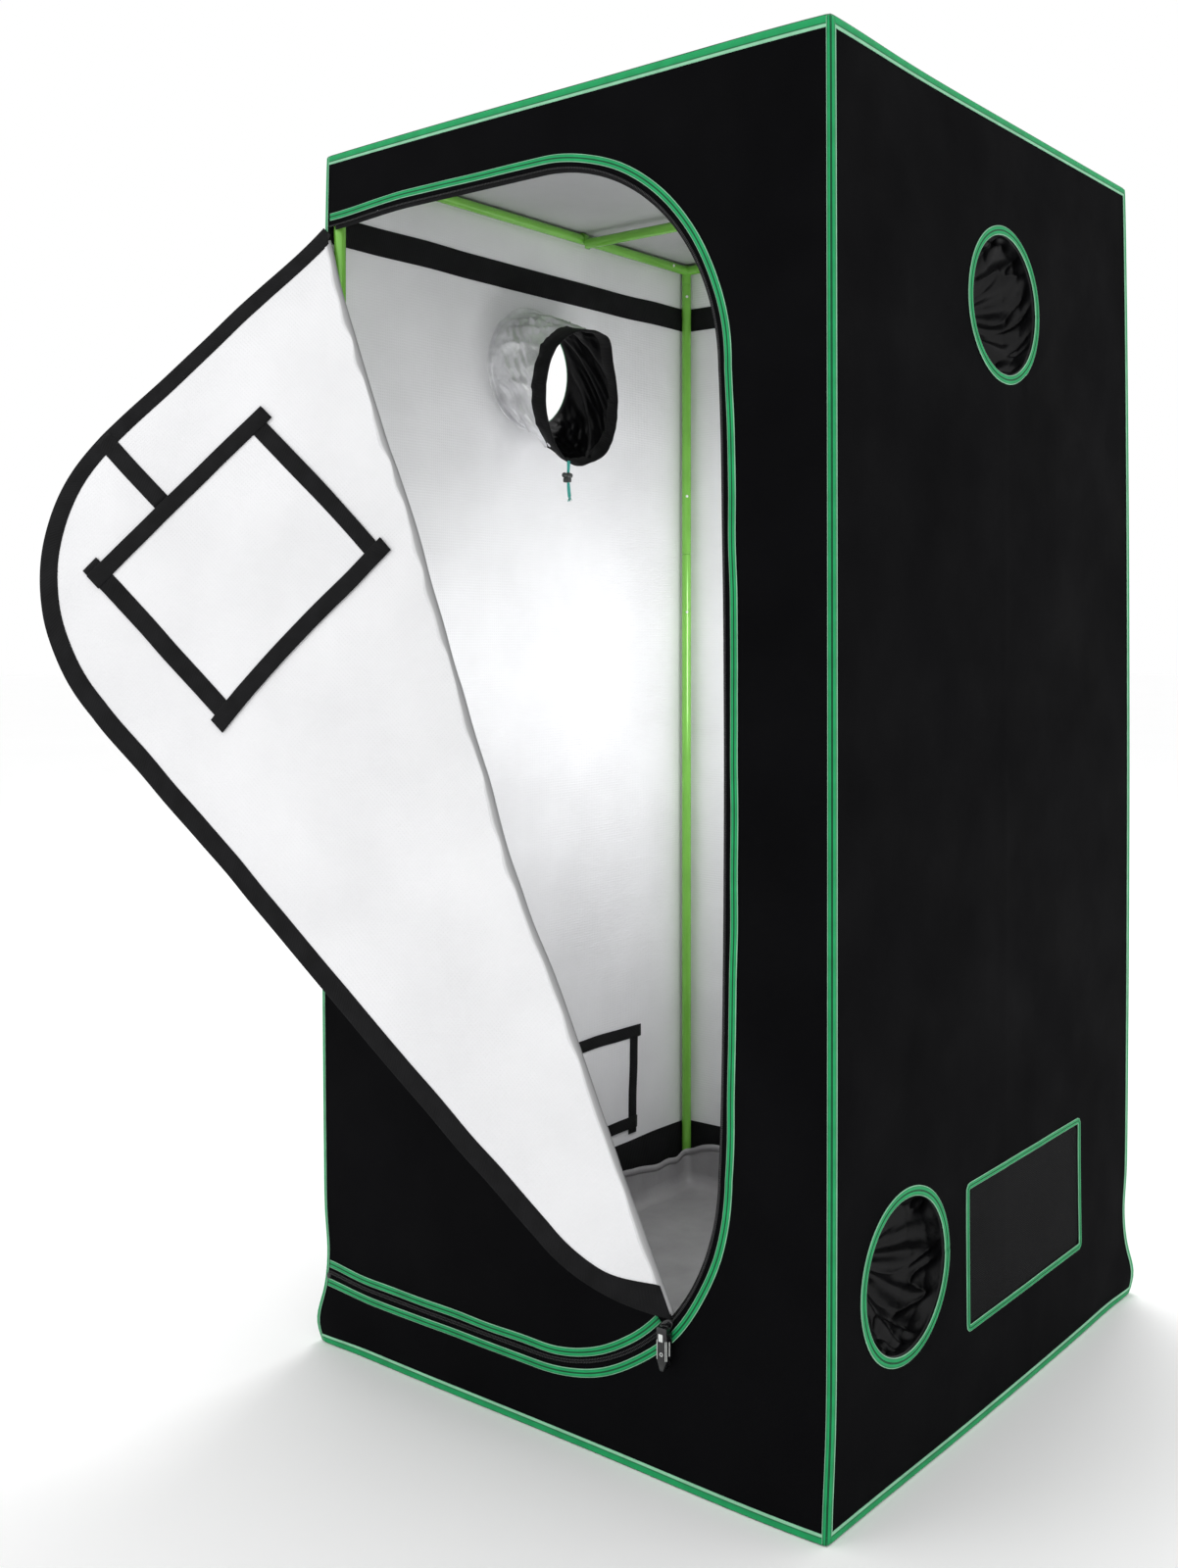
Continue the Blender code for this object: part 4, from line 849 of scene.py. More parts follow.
def weave(tree, pitch):
    """Height of a plain weave: the product of two bands of sines at right angles."""
    flat = flat_coordinates(tree, (1 / pitch, 1 / pitch, 1))
    bands = []
    for direction in ("X", "Y"):
        inputs = {"Vector": flat, "Scale": 0.314, "Distortion": 0.6, "Detail": 1.0}
        band = add(tree, "ShaderNodeTexWave", inputs, bands_direction=direction)
        bands.append(band.outputs["Fac"])
    return add(tree, "ShaderNodeMath", {0: bands[0], 1: bands[1]}, operation="MULTIPLY").outputs[0]


def noise(tree, scale, detail=3.0):
    """Noise of a scale per metre, on Object coordinates."""
    vector = add(tree, "ShaderNodeTexCoord").outputs["Object"]
    inputs = {"Vector": vector, "Scale": scale, "Detail": detail}
    return add(tree, "ShaderNodeTexNoise", inputs).outputs["Fac"]


def bump(tree, shader, heights):
    """Chains bumps of (height, strength, distance) into the shader's normal."""
    normal = None
    for height, strength, distance in heights:
        inputs = {"Height": height, "Strength": strength, "Distance": distance}
        if normal:
            inputs["Normal"] = normal
        normal = add(tree, "ShaderNodeBump", inputs).outputs["Normal"]
    tree.links.new(normal, shader.inputs["Normal"])


def mottled(tree, shader, colour, scale, low, high):
    """Base colour that wanders between two shades of a colour."""
    share = noise(tree, scale)
    stops = ((0.3, rgba(colour, low)), (0.7, rgba(colour, high)))
    tree.links.new(ramp(tree, share, stops), shader.inputs["Base Color"])


def outer_cloth():
    """Coated canvas: near black, a fine weave, soft sheen and faint rubbed patches."""
    made, tree, shader = new_finish("outer_cloth", 0.74, Specular_IOR_Level=0.03)
    mottled(tree, shader, colours().outer, 5.0, 0.8, 1.25)
    rough = ramp(tree, noise(tree, 9.0), ((0.3, rgba((0.7,) * 3)), (0.75, rgba((0.86,) * 3))))
    tree.links.new(rough, shader.inputs["Roughness"])
    bump(tree, shader, ((noise(tree, 14.0), 0.35, 0.004), (weave(tree, 0.0016), 0.25, 0.0003)))
    return made


def inner_film(name="inner_film", shade=1.0):
    """Reflective film laminated on cloth: white, faintly embossed in a small grid. A shade below
    one darkens its colour, as painted shade.
    """
    made, tree, shader = new_finish(name, 0.42, 0.08, Specular_IOR_Level=0.5)
    mottled(tree, shader, colours().inner, 6.0, 0.92 * shade, 1.02 * shade)
    bump(tree, shader, ((noise(tree, 16.0, 5.0), 0.45, 0.004), (weave(tree, 0.004), 0.5, 0.0005)))
    return made


def crease_painted_shade():
    """The lining where it bends over the crease, painted grey as shade, with a darker line of
    painted shadow along the bend.
    """
    made, tree, shader = new_finish("crease_painted_shade", 0.5, 0.08)
    across = across_piece(tree)
    film = colours().inner
    # Painted shade across the bend: the white film's colour cut to about a third, to 0.16 along the
    # dark line, and back to 0.85 at the far end
    stops = (
        (0.3, rgba(film, 0.3)), (0.36, rgba(film, 0.16)), (0.42, rgba(film, 0.3)),
        (0.8, rgba(film, 0.36)), (0.89, rgba(film, 0.46)), (0.96, rgba(film, 0.85)),
    )
    tree.links.new(ramp(tree, across, stops), shader.inputs["Base Color"])
    bump(tree, shader, ((noise(tree, 120.0, 4.0), 0.4, 0.001),))
    return made


def silver_film():
    """The sleeve's crinkled film: brighter and more like metal than the walls' film."""
    made, tree, shader = new_finish("silver_film", 0.28, 0.65)
    mottled(tree, shader, (0.88, 0.88, 0.9), 30.0, 0.75, 1.1)
    bump(tree, shader, ((noise(tree, 45.0, 5.0), 0.8, 0.004), (weave(tree, 0.003), 0.3, 0.0003)))
    return made


def glossy_cloth(name="glossy_cloth", shine=0.22):
    """Thin coated cloth of the sleeves' outer side: black, crumpled, more or less glossy."""
    made, tree, shader = new_finish(name, 0.36, Specular_IOR_Level=shine)
    mottled(tree, shader, colours().outer, 30.0, 0.8, 1.6)
    bump(tree, shader, ((noise(tree, 70.0, 5.0), 0.5, 0.002),))
    return made


def green_tape():
    """Ribbed tape with a light thread along both edges and a dark stitched groove."""
    made, tree, shader = new_finish("green_tape", 0.55, Specular_IOR_Level=0.2)
    c = colours()
    across = across_piece(tree)
    ground, dark, light = rgba(c.green), rgba(c.dark), rgba(c.light)
    stops = (
        (0.0, light), (0.07, light), (0.1, rgba(c.green, 0.3)), (0.15, ground),
        (0.39, rgba(c.green, 1.2)), (0.43, dark), (0.47, dark), (0.5, rgba(c.green, 0.7)),
        (0.53, dark), (0.57, dark), (0.61, rgba(c.green, 1.2)), (0.85, ground),
        (0.9, rgba(c.green, 0.3)), (0.93, light), (1.0, light),
    )
    stripes = ramp(tree, across, stops)
    shade = ramp(tree, noise(tree, 45.0), ((0.3, rgba((0.8,) * 3)), (0.7, rgba((1.0,) * 3))))
    mixed = add(tree, "ShaderNodeMix", {0: 1.0, 6: stripes, 7: shade}, data_type="RGBA")
    mixed.blend_type = "MULTIPLY"
    tree.links.new(mixed.outputs[2], shader.inputs["Base Color"])
    flat = flat_coordinates(tree, (0, 1, 1))
    ribs = add(tree, "ShaderNodeTexWave", {"Vector": flat, "Scale": 250.0}, bands_direction="Y")
    bump(tree, shader, ((ribs.outputs["Fac"], 0.35, 0.0003),))
    return made


def webbing():
    """Black woven webbing: fine slanting ribs, a matt sheen."""
    made, tree, shader = new_finish("webbing", 0.72, Sheen_Weight=0.03, Specular_IOR_Level=0.14)
    mottled(tree, shader, colours().webbing, 40.0, 0.7, 1.5)
    bump(tree, shader, ((slanting_ribs(tree, (0.012, 1, 1), 160.0), 0.5, 0.0004),))
    return made


def pole_paint():
    """Baked green enamel on steel: glossy, with a faint orange peel."""
    coat = {"Coat_Weight": 0.4, "Coat_Roughness": 0.12}
    made, tree, shader = new_finish("pole_paint", 0.24, 0.15, **coat)
    mottled(tree, shader, colours().pole, 18.0, 0.92, 1.06)
    bump(tree, shader, ((noise(tree, 350.0), 0.12, 0.0003),))
    return made


def tray_cloth():
    """Grey coated cloth: smooth, a little shiny, faintly woven and scuffed."""
    made, tree, shader = new_finish("tray_cloth", 0.4)
    mottled(tree, shader, colours().tray, 16.0, 0.86, 1.1)
    bump(tree, shader, ((noise(tree, 26.0, 4.0), 0.5, 0.004), (weave(tree, 0.002), 0.25, 0.0003)))
    return made


def vent_mesh():
    """Tight black mesh: a small open grid."""
    made, tree, shader = new_finish("vent_mesh", 0.8, Specular_IOR_Level=0.1)
    mottled(tree, shader, colours().outer, 12.0, 0.9, 1.5)
    bump(tree, shader, ((weave(tree, 0.0024), 0.9, 0.0007), (noise(tree, 20.0), 0.3, 0.003)))
    return made


def window_film():
    """Clear film gone slightly milky, backed by the closed cover."""
    made, tree, shader = new_finish("window_film", 0.08, Specular_IOR_Level=0.7, Coat_Weight=0.5)
    mottled(tree, shader, (0.42, 0.45, 0.45), 6.0, 0.85, 1.1)
    bump(tree, shader, ((noise(tree, 12.0), 0.4, 0.003),))
    return made


def cord_yarn():
    """Braided cord: strands that slant round the tube."""
    made, tree, shader = new_finish("cord_yarn", 0.6, Sheen_Weight=0.3)
    share = slanting_ribs(tree, (4, 700, 1), 0.6)
    stops = ((0.2, rgba(colours().cord, 0.5)), (0.6, rgba(colours().cord, 1.3)))
    tree.links.new(ramp(tree, share, stops), shader.inputs["Base Color"])
    bump(tree, shader, ((share, 0.8, 0.0004),))
    return made


def moulded(name, colour, roughness):
    """Moulded plastic or enamel with a fine grain."""
    made, tree, shader = new_finish(name, roughness, Specular_IOR_Level=0.55)
    mottled(tree, shader, colour, 120.0, 0.85, 1.15)
    bump(tree, shader, ((noise(tree, 900.0), 0.1, 0.0002),))
    return made


def floor_paint():
    """Pale studio floor."""
    made, tree, shader = new_finish("pale_floor", 0.8, Specular_IOR_Level=0.1)
    mottled(tree, shader, (0.99, 0.99, 0.99), 0.7, 0.995, 1.005)
    return made


FINISH_MAKERS = {
    # ceiling is the inner film darkened to 0.6, which paints shade on the roof's inner side
    "outer": outer_cloth, "inner": inner_film, "ceiling": lambda: inner_film("ceiling_film_painted_shade", 0.6),
    "silver": silver_film, "glossy": glossy_cloth, "dull": lambda: glossy_cloth("dull_cloth", 0.06),
    "tape": green_tape, "webbing": webbing, "pole": pole_paint, "tray": tray_cloth,
    "mesh": vent_mesh, "window": window_film, "cord": cord_yarn,
    "plastic": lambda: moulded("lock_plastic", colours().plastic, 0.35),
    # crease paints shade on the lining where the door bends
    "enamel": lambda: moulded("zip_enamel", colours().enamel, 0.22), "crease": crease_painted_shade,
    "steel": lambda: moulded("button_steel", (0.8, 0.8, 0.78), 0.25),
    # bright paints the zip pull's highlights
    "bright": lambda: moulded("pull_painted_highlight", (0.75, 0.78, 0.76), 0.2), "floor": floor_paint,
}
FINISHES = {}


def finish(name):
    """The finish of that name, made on its first use."""
    if name not in FINISHES:
        FINISHES[name] = FINISH_MAKERS[name]()
    return FINISHES[name]


def shell(name, surface, kind, body="root", stands_for=()):
    """A closed piece in one finish, with the socket that goes with it."""
    return piece(name, surface, finish(kind), body, stands_for, closed=True)


# ---------------------------------------------------------------- operators


# The camera's place, its turn about the upright in degrees, its lens and its shift
CAMERA_PLACE = (1.2906, -1.8240, 0.9523)
CAMERA_TURN = 37.14
CAMERA_LENS = 36.61
CAMERA_SHIFT = (-0.0631, -0.0943)
# Area lights: name, place, point aimed at, side length, power
STUDIO_LIGHTS = (
    ("key", (-1.6, -3.0, 3.2), (0, -0.2, 0.9), 1.6, 10),
    ("top", (-0.5, 1.4, 5.0), (0, 0, 0), 1.5, 90),
    ("inside", (0.18, 0.08, 0.92), (-0.4, 0.32, 0.8), 0.3, 2.9),
)


class TENT_OT_stage(bpy.types.Operator):
    """Camera, pale floor and soft studio light"""

    bl_idname = "tent.stage"
    bl_label = "Stage"

    def execute(self, context):
        scene = context.scene
        view = bpy.data.cameras.new("camera")
        camera = bpy.data.objects.new("camera", view)
        scene.collection.objects.link(camera)
        camera.location = CAMERA_PLACE
        camera.rotation_euler = (math.pi / 2, 0, math.radians(CAMERA_TURN))
        view.sensor_width = 36
        view.lens = CAMERA_LENS
        view.shift_x, view.shift_y = CAMERA_SHIFT
        view.clip_start = 0.05
        scene.camera = camera

        turn, reach = np.meshgrid(circle(64), np.linspace(0, 40, 24), indexing="ij")
        points = stacked(reach * np.cos(turn), reach * np.sin(turn), -0.0002)
        mesh = bpy.data.meshes.new("floor")
        grid = quads(24, 64, loop=True)
        mesh.from_pydata(points.transpose(1, 0, 2).reshape(-1, 3).tolist(), [], grid.tolist())
        mesh.materials.append(finish("floor"))
        ground = bpy.data.objects.new("floor", mesh)
        scene.collection.objects.link(ground)

        world = bpy.data.worlds.new("world")
        world.use_nodes = True
        world.node_tree.nodes["Background"].inputs["Color"].default_value = (1, 1, 1, 1)
        world.node_tree.nodes["Background"].inputs["Strength"].default_value = 1.0
        scene.world = world
        scene.view_settings.view_transform = "Standard"
        for name, place, aim, size, power in STUDIO_LIGHTS:
            add_light(scene, name, place, aim, size, power)
        return {"FINISHED"}


def add_light(scene, name, place, aim, size, power):
    """A square area light at a place, turned towards the point aimed at."""
    lamp = bpy.data.lights.new(name, "AREA")
    lamp.size = size
    lamp.energy = power
    made = bpy.data.objects.new(name, lamp)
    made.location = place
    way = Vector(aim) - Vector(place)
    made.rotation_euler = way.to_track_quat("-Z", "Y").to_euler()
    scene.collection.objects.link(made)


# Ports and vents: places from the tent's front, heights above the ground
TOP_PORT_Y = 0.405
LOW_PORT_Y = 0.155
VENT_FRONT, VENT_BACK = 0.296, 0.632
VENT_BOTTOM, VENT_TOP = 0.119, 0.297
VENT_TAPE = 0.009
VENT_CORNER = 0.006
# The flat cuts of a wall and of the roof or floor, with their seams
WALL_CUT, LEVEL_CUT = (0.82, 1.62), (0.82, 0.82)
# How far the cloth panels stop short of the tent's edges, under the tape
PANEL_GAP = 0.0018


class TENT_OT_cover(bpy.types.Operator):
    """The six cloth panels with their openings, black outside and white inside"""

    bl_idname = "tent.cover"
    bl_label = "Cover"

    def execute(self, context):
        s = sizes()
        low, high = PANEL_GAP, s.height - PANEL_GAP
        straight_zip = square_hole(
            -1, s.zip_bottom - 0.001, s.zip_right + 0.001, s.zip_top + 0.001, s.zip_radius
        )

        def zip_hole(a, b):
            """The zip's outline: the straight one, moved as the zip bows and sags."""
            return straight_zip(a - zip_bow(b), b - zip_sag(a, b))

        vent = square_hole(
            VENT_FRONT + VENT_TAPE, VENT_BOTTOM + VENT_TAPE, VENT_BACK - VENT_TAPE,
            VENT_TOP - VENT_TAPE, VENT_CORNER,
        )
        upright = rectangle_grid(0.0002, low, s.width - 0.0002, high, s.cell)
        side = rectangle_grid(PANEL_GAP, low, s.depth - PANEL_GAP, high, s.cell)
        level = rectangle_grid(0, 0, s.width, s.depth, s.cell)
        high_port = round_hole((TOP_PORT_Y, s.top_port), s.port_radius)
        low_port = round_hole((LOW_PORT_Y, s.low_port), s.port_radius)
        panels = (
            ("front", upright, wall_front, [zip_hole], True, 0.44),
            ("back", upright, wall_back, [], False, None),
            ("right", side, wall_right, [high_port, low_port, vent], True, 1.24),
            ("left", side, wall_left, [high_port, vent], False, 1.27),
            ("roof", level, roof, [], True, None), ("floor", level, floor, [], False, None),
        )
        for name, grid, place, holes, flip, area in panels:
            node, flat = f"wall_{name}", WALL_CUT
            if grid is level:
                node, flat = f"{name}_panel", LEVEL_CUT
            surface = cloth(*grid, place, holes, flip=flip)
            # The roof's inner side takes the film darkened to 0.6, which paints shade on the
            # ceiling
            sides = [finish("outer"), finish("ceiling" if name == "roof" else "inner")]
            made = piece(f"cloth_{name}", surface, sides, stands_for=[node], wall=s.cloth)
        return {"FINISHED"}


class TENT_OT_binding(bpy.types.Operator):
    """Green tape folded round all edges of the cover"""

    bl_idname = "tent.binding"
    bl_label = "Edge binding"

    def execute(self, context):
        s = sizes()
        half_x, half_y = s.width / 2, s.depth / 2
        surfaces = []
        corners = np.array(((-1, -1), (1, -1), (1, 1), (-1, 1)))
        z = np.linspace(s.rounding / 2, s.height - s.rounding / 2, 200)
        for corner in corners:
            base = stacked(corner[0] * half_x, corner[1] * half_y, z)
            surfaces.append(folded_tape(base, (corner[0], 0, 0), (0, corner[1], 0)))
        for level in (1, -1):
            surfaces.append(ring_tape(corners, half_x, half_y, level))
        points, faces, uv = joined(surfaces)
        shell("edge_tape", (settled(points), faces, uv), "tape", stands_for=["edge_binding"])
        return {"FINISHED"}


# Section of the folded edge tape: shares of its legs inwards, of EDGE_THICKNESS outwards
EDGE_THICKNESS = 0.008
EDGE_SECTION = (
    (-1.0, 0.02), (-1.0, 0.1), (-0.93, 0.15), (-0.62, 0.15), (-0.55, 0.09), (-0.48, 0.15),
    (-0.15, 0.16), (0.07, 0.15), (0.15, 0.07), (0.16, -0.15), (0.15, -0.5), (0.15, -0.93),
    (0.1, -1.0), (0.02, -1.0), (0.02, 0.02),
)


def edge_section(first_leg, second_leg):
    """The folded section in metres and its share of the way across the tape."""
    section = np.array(EDGE_SECTION)
    way = run_length(section)
    share = np.clip((way - 0.08) / (way[-3] - 0.16), 0, 1)
    share[-1] = 0.5
    legs = np.array((first_leg, second_leg))
    return section * np.where(section < 0, legs, EDGE_THICKNESS), share


def folded_tape(base, first, second):
    """The folded section carried along a straight edge between two faces."""
    section, share = edge_section(sizes().binding_front, sizes().binding)
    first, second = np.array(first), np.array(second)
    points = base[:, None] + section[None, :, :1] * first + section[None, :, 1:] * second
    reach = np.linalg.norm(base - base[0], axis=1)
    uv = stacked(share[None], reach[:, None])
    return swept(points, uv)


def ring_tape(corners, half_x, half_y, level):
    """The folded section carried round the four upper or lower edges, mitred at the corners.

    Below, nothing goes under the ground: the part under the floor is pressed flat.
    """
    section, share = edge_section(sizes().binding_front, sizes().binding_level)
    if level < 0:
        section[:, 1] = np.minimum(section[:, 1], 0)
    height = sizes().height if level > 0 else 0
    rows, asides = [], []
    for i in range(4):
        start, end = corners[i], corners[(i + 1) % 4]
        share_along = np.concatenate(((0,), np.linspace(0.009, 0.991, 100)))
        flat = start + share_along[:, None] * (end - start)
        middle = (start + end) / 2
        aside = np.broadcast_to(middle / np.hypot(*middle), flat.shape).copy()
        aside[0] = start
        rows.append(flat * (half_x, half_y))
        asides.append(aside)
    flat, aside = np.concatenate(rows), np.concatenate(asides)
    flat, aside = np.concatenate((flat, flat[:1])), np.concatenate((aside, aside[:1]))
    base = np.column_stack((flat, np.full(len(flat), height)))
    side = np.column_stack((aside, np.zeros(len(flat))))
    up = np.array((0, 0, level))
    points = base[:, None] + section[None, :, :1] * side[:, None] + section[None, :, 1:] * up
    reach = run_length(base)
    uv = stacked(share[None], reach[:, None])
    return gridded(points, uv)


class TENT_OT_door(bpy.types.Operator):
    """The zipped lower part of the door, the open flap and the crease between them"""

    bl_idname = "tent.door"
    bl_label = "Door"

    def execute(self, context):
        s = sizes()
        both = [finish("outer"), finish("inner")]
        start, way, across, span = fold_at()
        tip = zip_distance(FOLD_END_ANGLE)
        columns = 230
        share = np.linspace(0, 1, columns)

        low_line, normal = zip_curve(share * (tip - 0.004))
        low_line = low_line - 0.001 * normal
        fold = start + share[:, None] * (span - 0.004) * way
        fold = fold + (BOW_ACROSS * crease_bow(share) - 0.0025)[:, None] * across
        fold[0] = (0.0, fold[0, 1])
        grid = ruled_grid(low_line, fold, 150)
        lower = cloth(*grid, below_fold)
        made = piece("door_lower_cloth", lower, both, stands_for=["door_lower"], wall=s.cloth)

        end = zip_lengths()[-1]
        reach = np.linspace(end - DOOR_LEFT, tip + 0.014, columns)
        outline, normal = zip_curve(reach)
        outline = outline - 0.001 * normal
        fold = start + share[:, None] * (span - 0.012) * way + 0.0005 * across
        window = square_hole(s.window_left, s.window_bottom, s.window_right, s.window_top, 0.012)
        grid = ruled_grid(fold, outline, 120)
        surface = cloth(*grid, flap, [window])
        made = piece("flap_cloth", surface, both, "door_flap_body", ["door_flap"], wall=s.cloth)
        self.crease()
        self.edge_tape()
        return {"FINISHED"}

    def crease(self):
        """The bend of the cloth: an arc about the fold that stands out in soft ripples. Its lining
        side is painted grey as shade.
        """
        start, way, across, span = fold_at()
        share = np.linspace(0, 1, 260)
        bend = np.linspace(0, 1, 17)
        turn = np.radians(-90) + bend * OPEN_ANGLE
        ripple = (0.0014 + 0.0012 * hills(share * 1.4, share * 0, 0.05, 8)) * eased(share * 12)
        radius = BEND_RADIUS + ripple[:, None] * np.sin(np.pi * bend[None]) ** 2
        along = share[:, None] * (span - 0.006)
        bow = crease_bow(share)[:, None]
        middle_away, middle_out = BOW_ACROSS * bow, HINGE_PROUD + BOW_OUT * bow
        away = middle_away + radius * np.cos(turn)
        out = middle_out + radius * np.sin(turn)
        tail = np.linspace(0.008, 0.001, 4)
        away = np.concatenate((middle_away - tail, away), 1)
        out = np.concatenate((np.broadcast_to(middle_out - BEND_RADIUS, (len(share), 4)), out), 1)
        reach = 0.0052 + 0.0034 * hills(share * 1.4, share * 0, 0.03, 9)
        back = np.linspace(0.1, 1, 5) * reach[:, None]
        last_away, last_out = away[:, -1:], out[:, -1:]
        away = np.concatenate((away, last_away + back * math.cos(OPEN_ANGLE)), 1)
        out = np.concatenate((out, last_out + back * math.sin(OPEN_ANGLE)), 1)
        flat = start + along[..., None] * way + away[..., None] * across
        points = closed_front(flat[..., 0], flat[..., 1], out)
        across_share = np.linspace(0, 1, away.shape[1])
        uv = stacked(across_share[None], along)
        faces = quads(*away.shape)
        surface = (points.reshape(-1, 3), faces, uv.reshape(-1, 2))
        # The lining side takes the crease finish, whose grey is painted shade
        made = piece_unparented("crease", surface, [finish("crease"), finish("outer")], 0.0009)
        square = np.array((-BOW_OUT * across[0], -BOW_ACROSS, -BOW_OUT * across[1]))
        square /= np.linalg.norm(square)
        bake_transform(made)

    def edge_tape(self):
        """Black zip tape along the flap's white side, from the hinge corner to the tip."""
        end, tip = zip_lengths()[-1], zip_distance(FOLD_END_ANGLE)
        reach = np.linspace(end + 0.003, tip + 0.001, 340)
        line, normal = zip_curve(reach)
        c = sizes().cloth
        far = (0.0235 + 0.011 * eased((tip + 0.1 - reach) / 0.09))[:, None]
        wide = strip(beside_fold, line, -normal, 0.0, far, -c - 0.0002, -0.0007, PLAIN, 0.0008, 4)
        shell("flap_edge_tape", wide, "webbing", "door_flap_body")


def piece_unparented(name, surface, materials, wall):
    """A walled piece with no parent and no body."""
    made = piece(name, surface, materials, wall=wall)
    made.parent = None
    if "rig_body" in made:
        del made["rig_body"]
    return made


class TENT_OT_zip(bpy.types.Operator):
    """Green tapes, zip teeth, slider and pull"""

    bl_idname = "tent.zip"
    bl_label = "Zip"

    def execute(self, context):
        s = sizes()
        end, tip = zip_lengths()[-1], zip_distance(FOLD_END_ANGLE)
        near, far = s.tape_gap, s.tape_gap + s.tape
        flap_end = end - DOOR_LEFT - 0.02
        tapes = (
            ("wall", wall_front, DOOR_LEFT, end - DOOR_LEFT, 1, 7, "zip_band_wall", "root"),
            ("lower", below_fold, DOOR_LEFT, tip - 0.018, -1, 9, "zip_band_door", "root"),
            ("flap", flap, tip + 0.04, flap_end, -1, 9, "zip_band_flap", "door_flap_body"),
        )
        for name, place, first, last, side, seed, node, body in tapes:
            line, normal = zip_curve(np.arange(first, last, 0.005))
            band = strip(
                place, line, side * normal, near, far, 0.0004, 0.0009, wobble=0.0007, seed=seed
            )
            shell(f"zip_tape_{name}", band, "tape", body, [node])
        line, normal = zip_curve(np.arange(DOOR_LEFT + 0.004, end - DOOR_LEFT - 0.004, 0.005))
        inner = strip(wall_front, line, normal, -0.005, 0.0085, -0.0034, -0.0006, PLAIN)
        shell("zip_backing", inner, "webbing")
        self.teeth(end, tip)
        self.slider()
        self.pull()
        return {"FINISHED"}

    def teeth(self, end, tip):
        """Rows of teeth on the wall, the lower door and the flap, and the wall's end stop."""
        s = sizes()
        pitch, size = 0.0024, (0.0016, 0.0008, 0.0011)
        rows = (
            ("teeth_wall", wall_front, DOOR_LEFT, end - DOOR_LEFT, 0.0002, "root"),
            ("teeth_lower", below_fold, DOOR_LEFT, tip - 0.012, -0.0026, "root"),
            ("teeth_flap", flap, tip + 0.016, end - DOOR_LEFT, -0.0026, "door_flap_body"),
        )
        for name, place, first, last, offset, body in rows:
            distance = np.arange(first, last, pitch) + (pitch / 2) * (offset < 0)
            surface = beads(place, distance, offset, size, 0.0004)
            if name == "teeth_wall":
                centre = (0.006 - s.width / 2, -s.depth / 2 - 0.001, s.zip_bottom)
                surface = joined([surface, ball(centre, (0.004, 0.003, 0.0045))])
            shell(name, surface, "enamel", body)

    def slider(self):
        """The slider: a boat-shaped body on both sides of the cloth and a round bail."""
        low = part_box("zip_slider")[0]
        angle = FOLD_END_ANGLE - 0.0135 / sizes().zip_radius
        centre, _ = zip_curve(zip_distance(angle))
        y = -sizes().depth / 2
        along = np.linspace(-1, 1, 25)
        width = 0.0065 * (1 - 0.35 * eased((along + 0.1) / 1.1)) * np.sqrt(1 - (along * 0.96) ** 6)
        turn = circle(24)
        shape, depth = squared(turn, 0.6)
        surfaces = []
        for middle, half in ((-0.0027, 0.0013), (0.0032, 0.0009)):
            local_x = width[:, None] * shape[None]
            local_y = middle + half * depth[None] * np.sqrt(1 - (along * 0.97) ** 8)[:, None]
            local_z = np.broadcast_to(0.01 * along[:, None], local_x.shape)
            x = local_x * math.cos(-angle) + local_z * math.sin(-angle)
            z = -local_x * math.sin(-angle) + local_z * math.cos(-angle)
            x, z = x + centre[0] - sizes().width / 2, z + centre[1]
            points = stacked(x, y + local_y, z)
            uv = stacked(turn[None], along[:, None])
            surfaces.append(swept(points, uv))
        x, z = centre[0] - sizes().width / 2, centre[1]
        bail = np.linspace(0, np.pi, 20)
        axis_y = low.y + 0.0012
        base_y = y - 0.0036
        path = stacked(
            x + 0.006 * np.cos(bail), base_y + (axis_y - base_y) * np.sin(bail) ** 0.5, z
        )
        surfaces.append(tube(path, 0.0011, 12, (0, 0, 1)))
        shell("slider_body", joined(surfaces), "enamel", "zip_slider", ["zip_slider"])

    def pull(self):
        """A pointed block under a thinner eye, with painted highlights on its front and side:
        bright strips and a bright ring.
        """
        low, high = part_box("zip_pull")
        x, half, tall = (low.x + high.x) / 2 + 0.0018, (high.x - low.x) / 2 + 0.0005, high.z - low.z
        axis_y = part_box("zip_slider")[0].y + 0.0012
        shoulder = tall - 0.0065
        heights = np.array(
            (-0.003, -0.0026, 0.0092, 0.0102, shoulder - 0.0012, shoulder - 0.0003, shoulder)
        )
        widths = half * np.array((0.33, 0.36, 0.98, 1, 1, 0.95, 0.8))
        back = min(high.y, axis_y + 0.003)
        block = self.block(x, low, heights, widths, (low.y, back))
        eye_heights = np.array((shoulder - 0.001, shoulder, tall - 0.0008, tall))
        eye_widths = half * np.array((0.62, 0.62, 0.6, 0.5))
        eye = self.block(x, low, eye_heights, eye_widths, (axis_y - 0.0018, axis_y + 0.0018))
        lip_heights = np.array(
            (shoulder - 0.002, shoulder - 0.001, shoulder + 0.0055, shoulder + 0.006)
        )
        lip_widths = half * np.array((0.98, 0.98, 0.98, 0.85))
        lip = self.block(x, low, lip_heights, lip_widths, (low.y, low.y + 0.0042))
        shell("pull_bar", joined([block, eye, lip]), "enamel", "zip_pull", ["zip_pull"])
        front = lambda a, b, out: stacked(a, low.y - out, b)
        side = lambda a, b, out: stacked(x + half + out, a, b)
        middle_y = (low.y + back) / 2
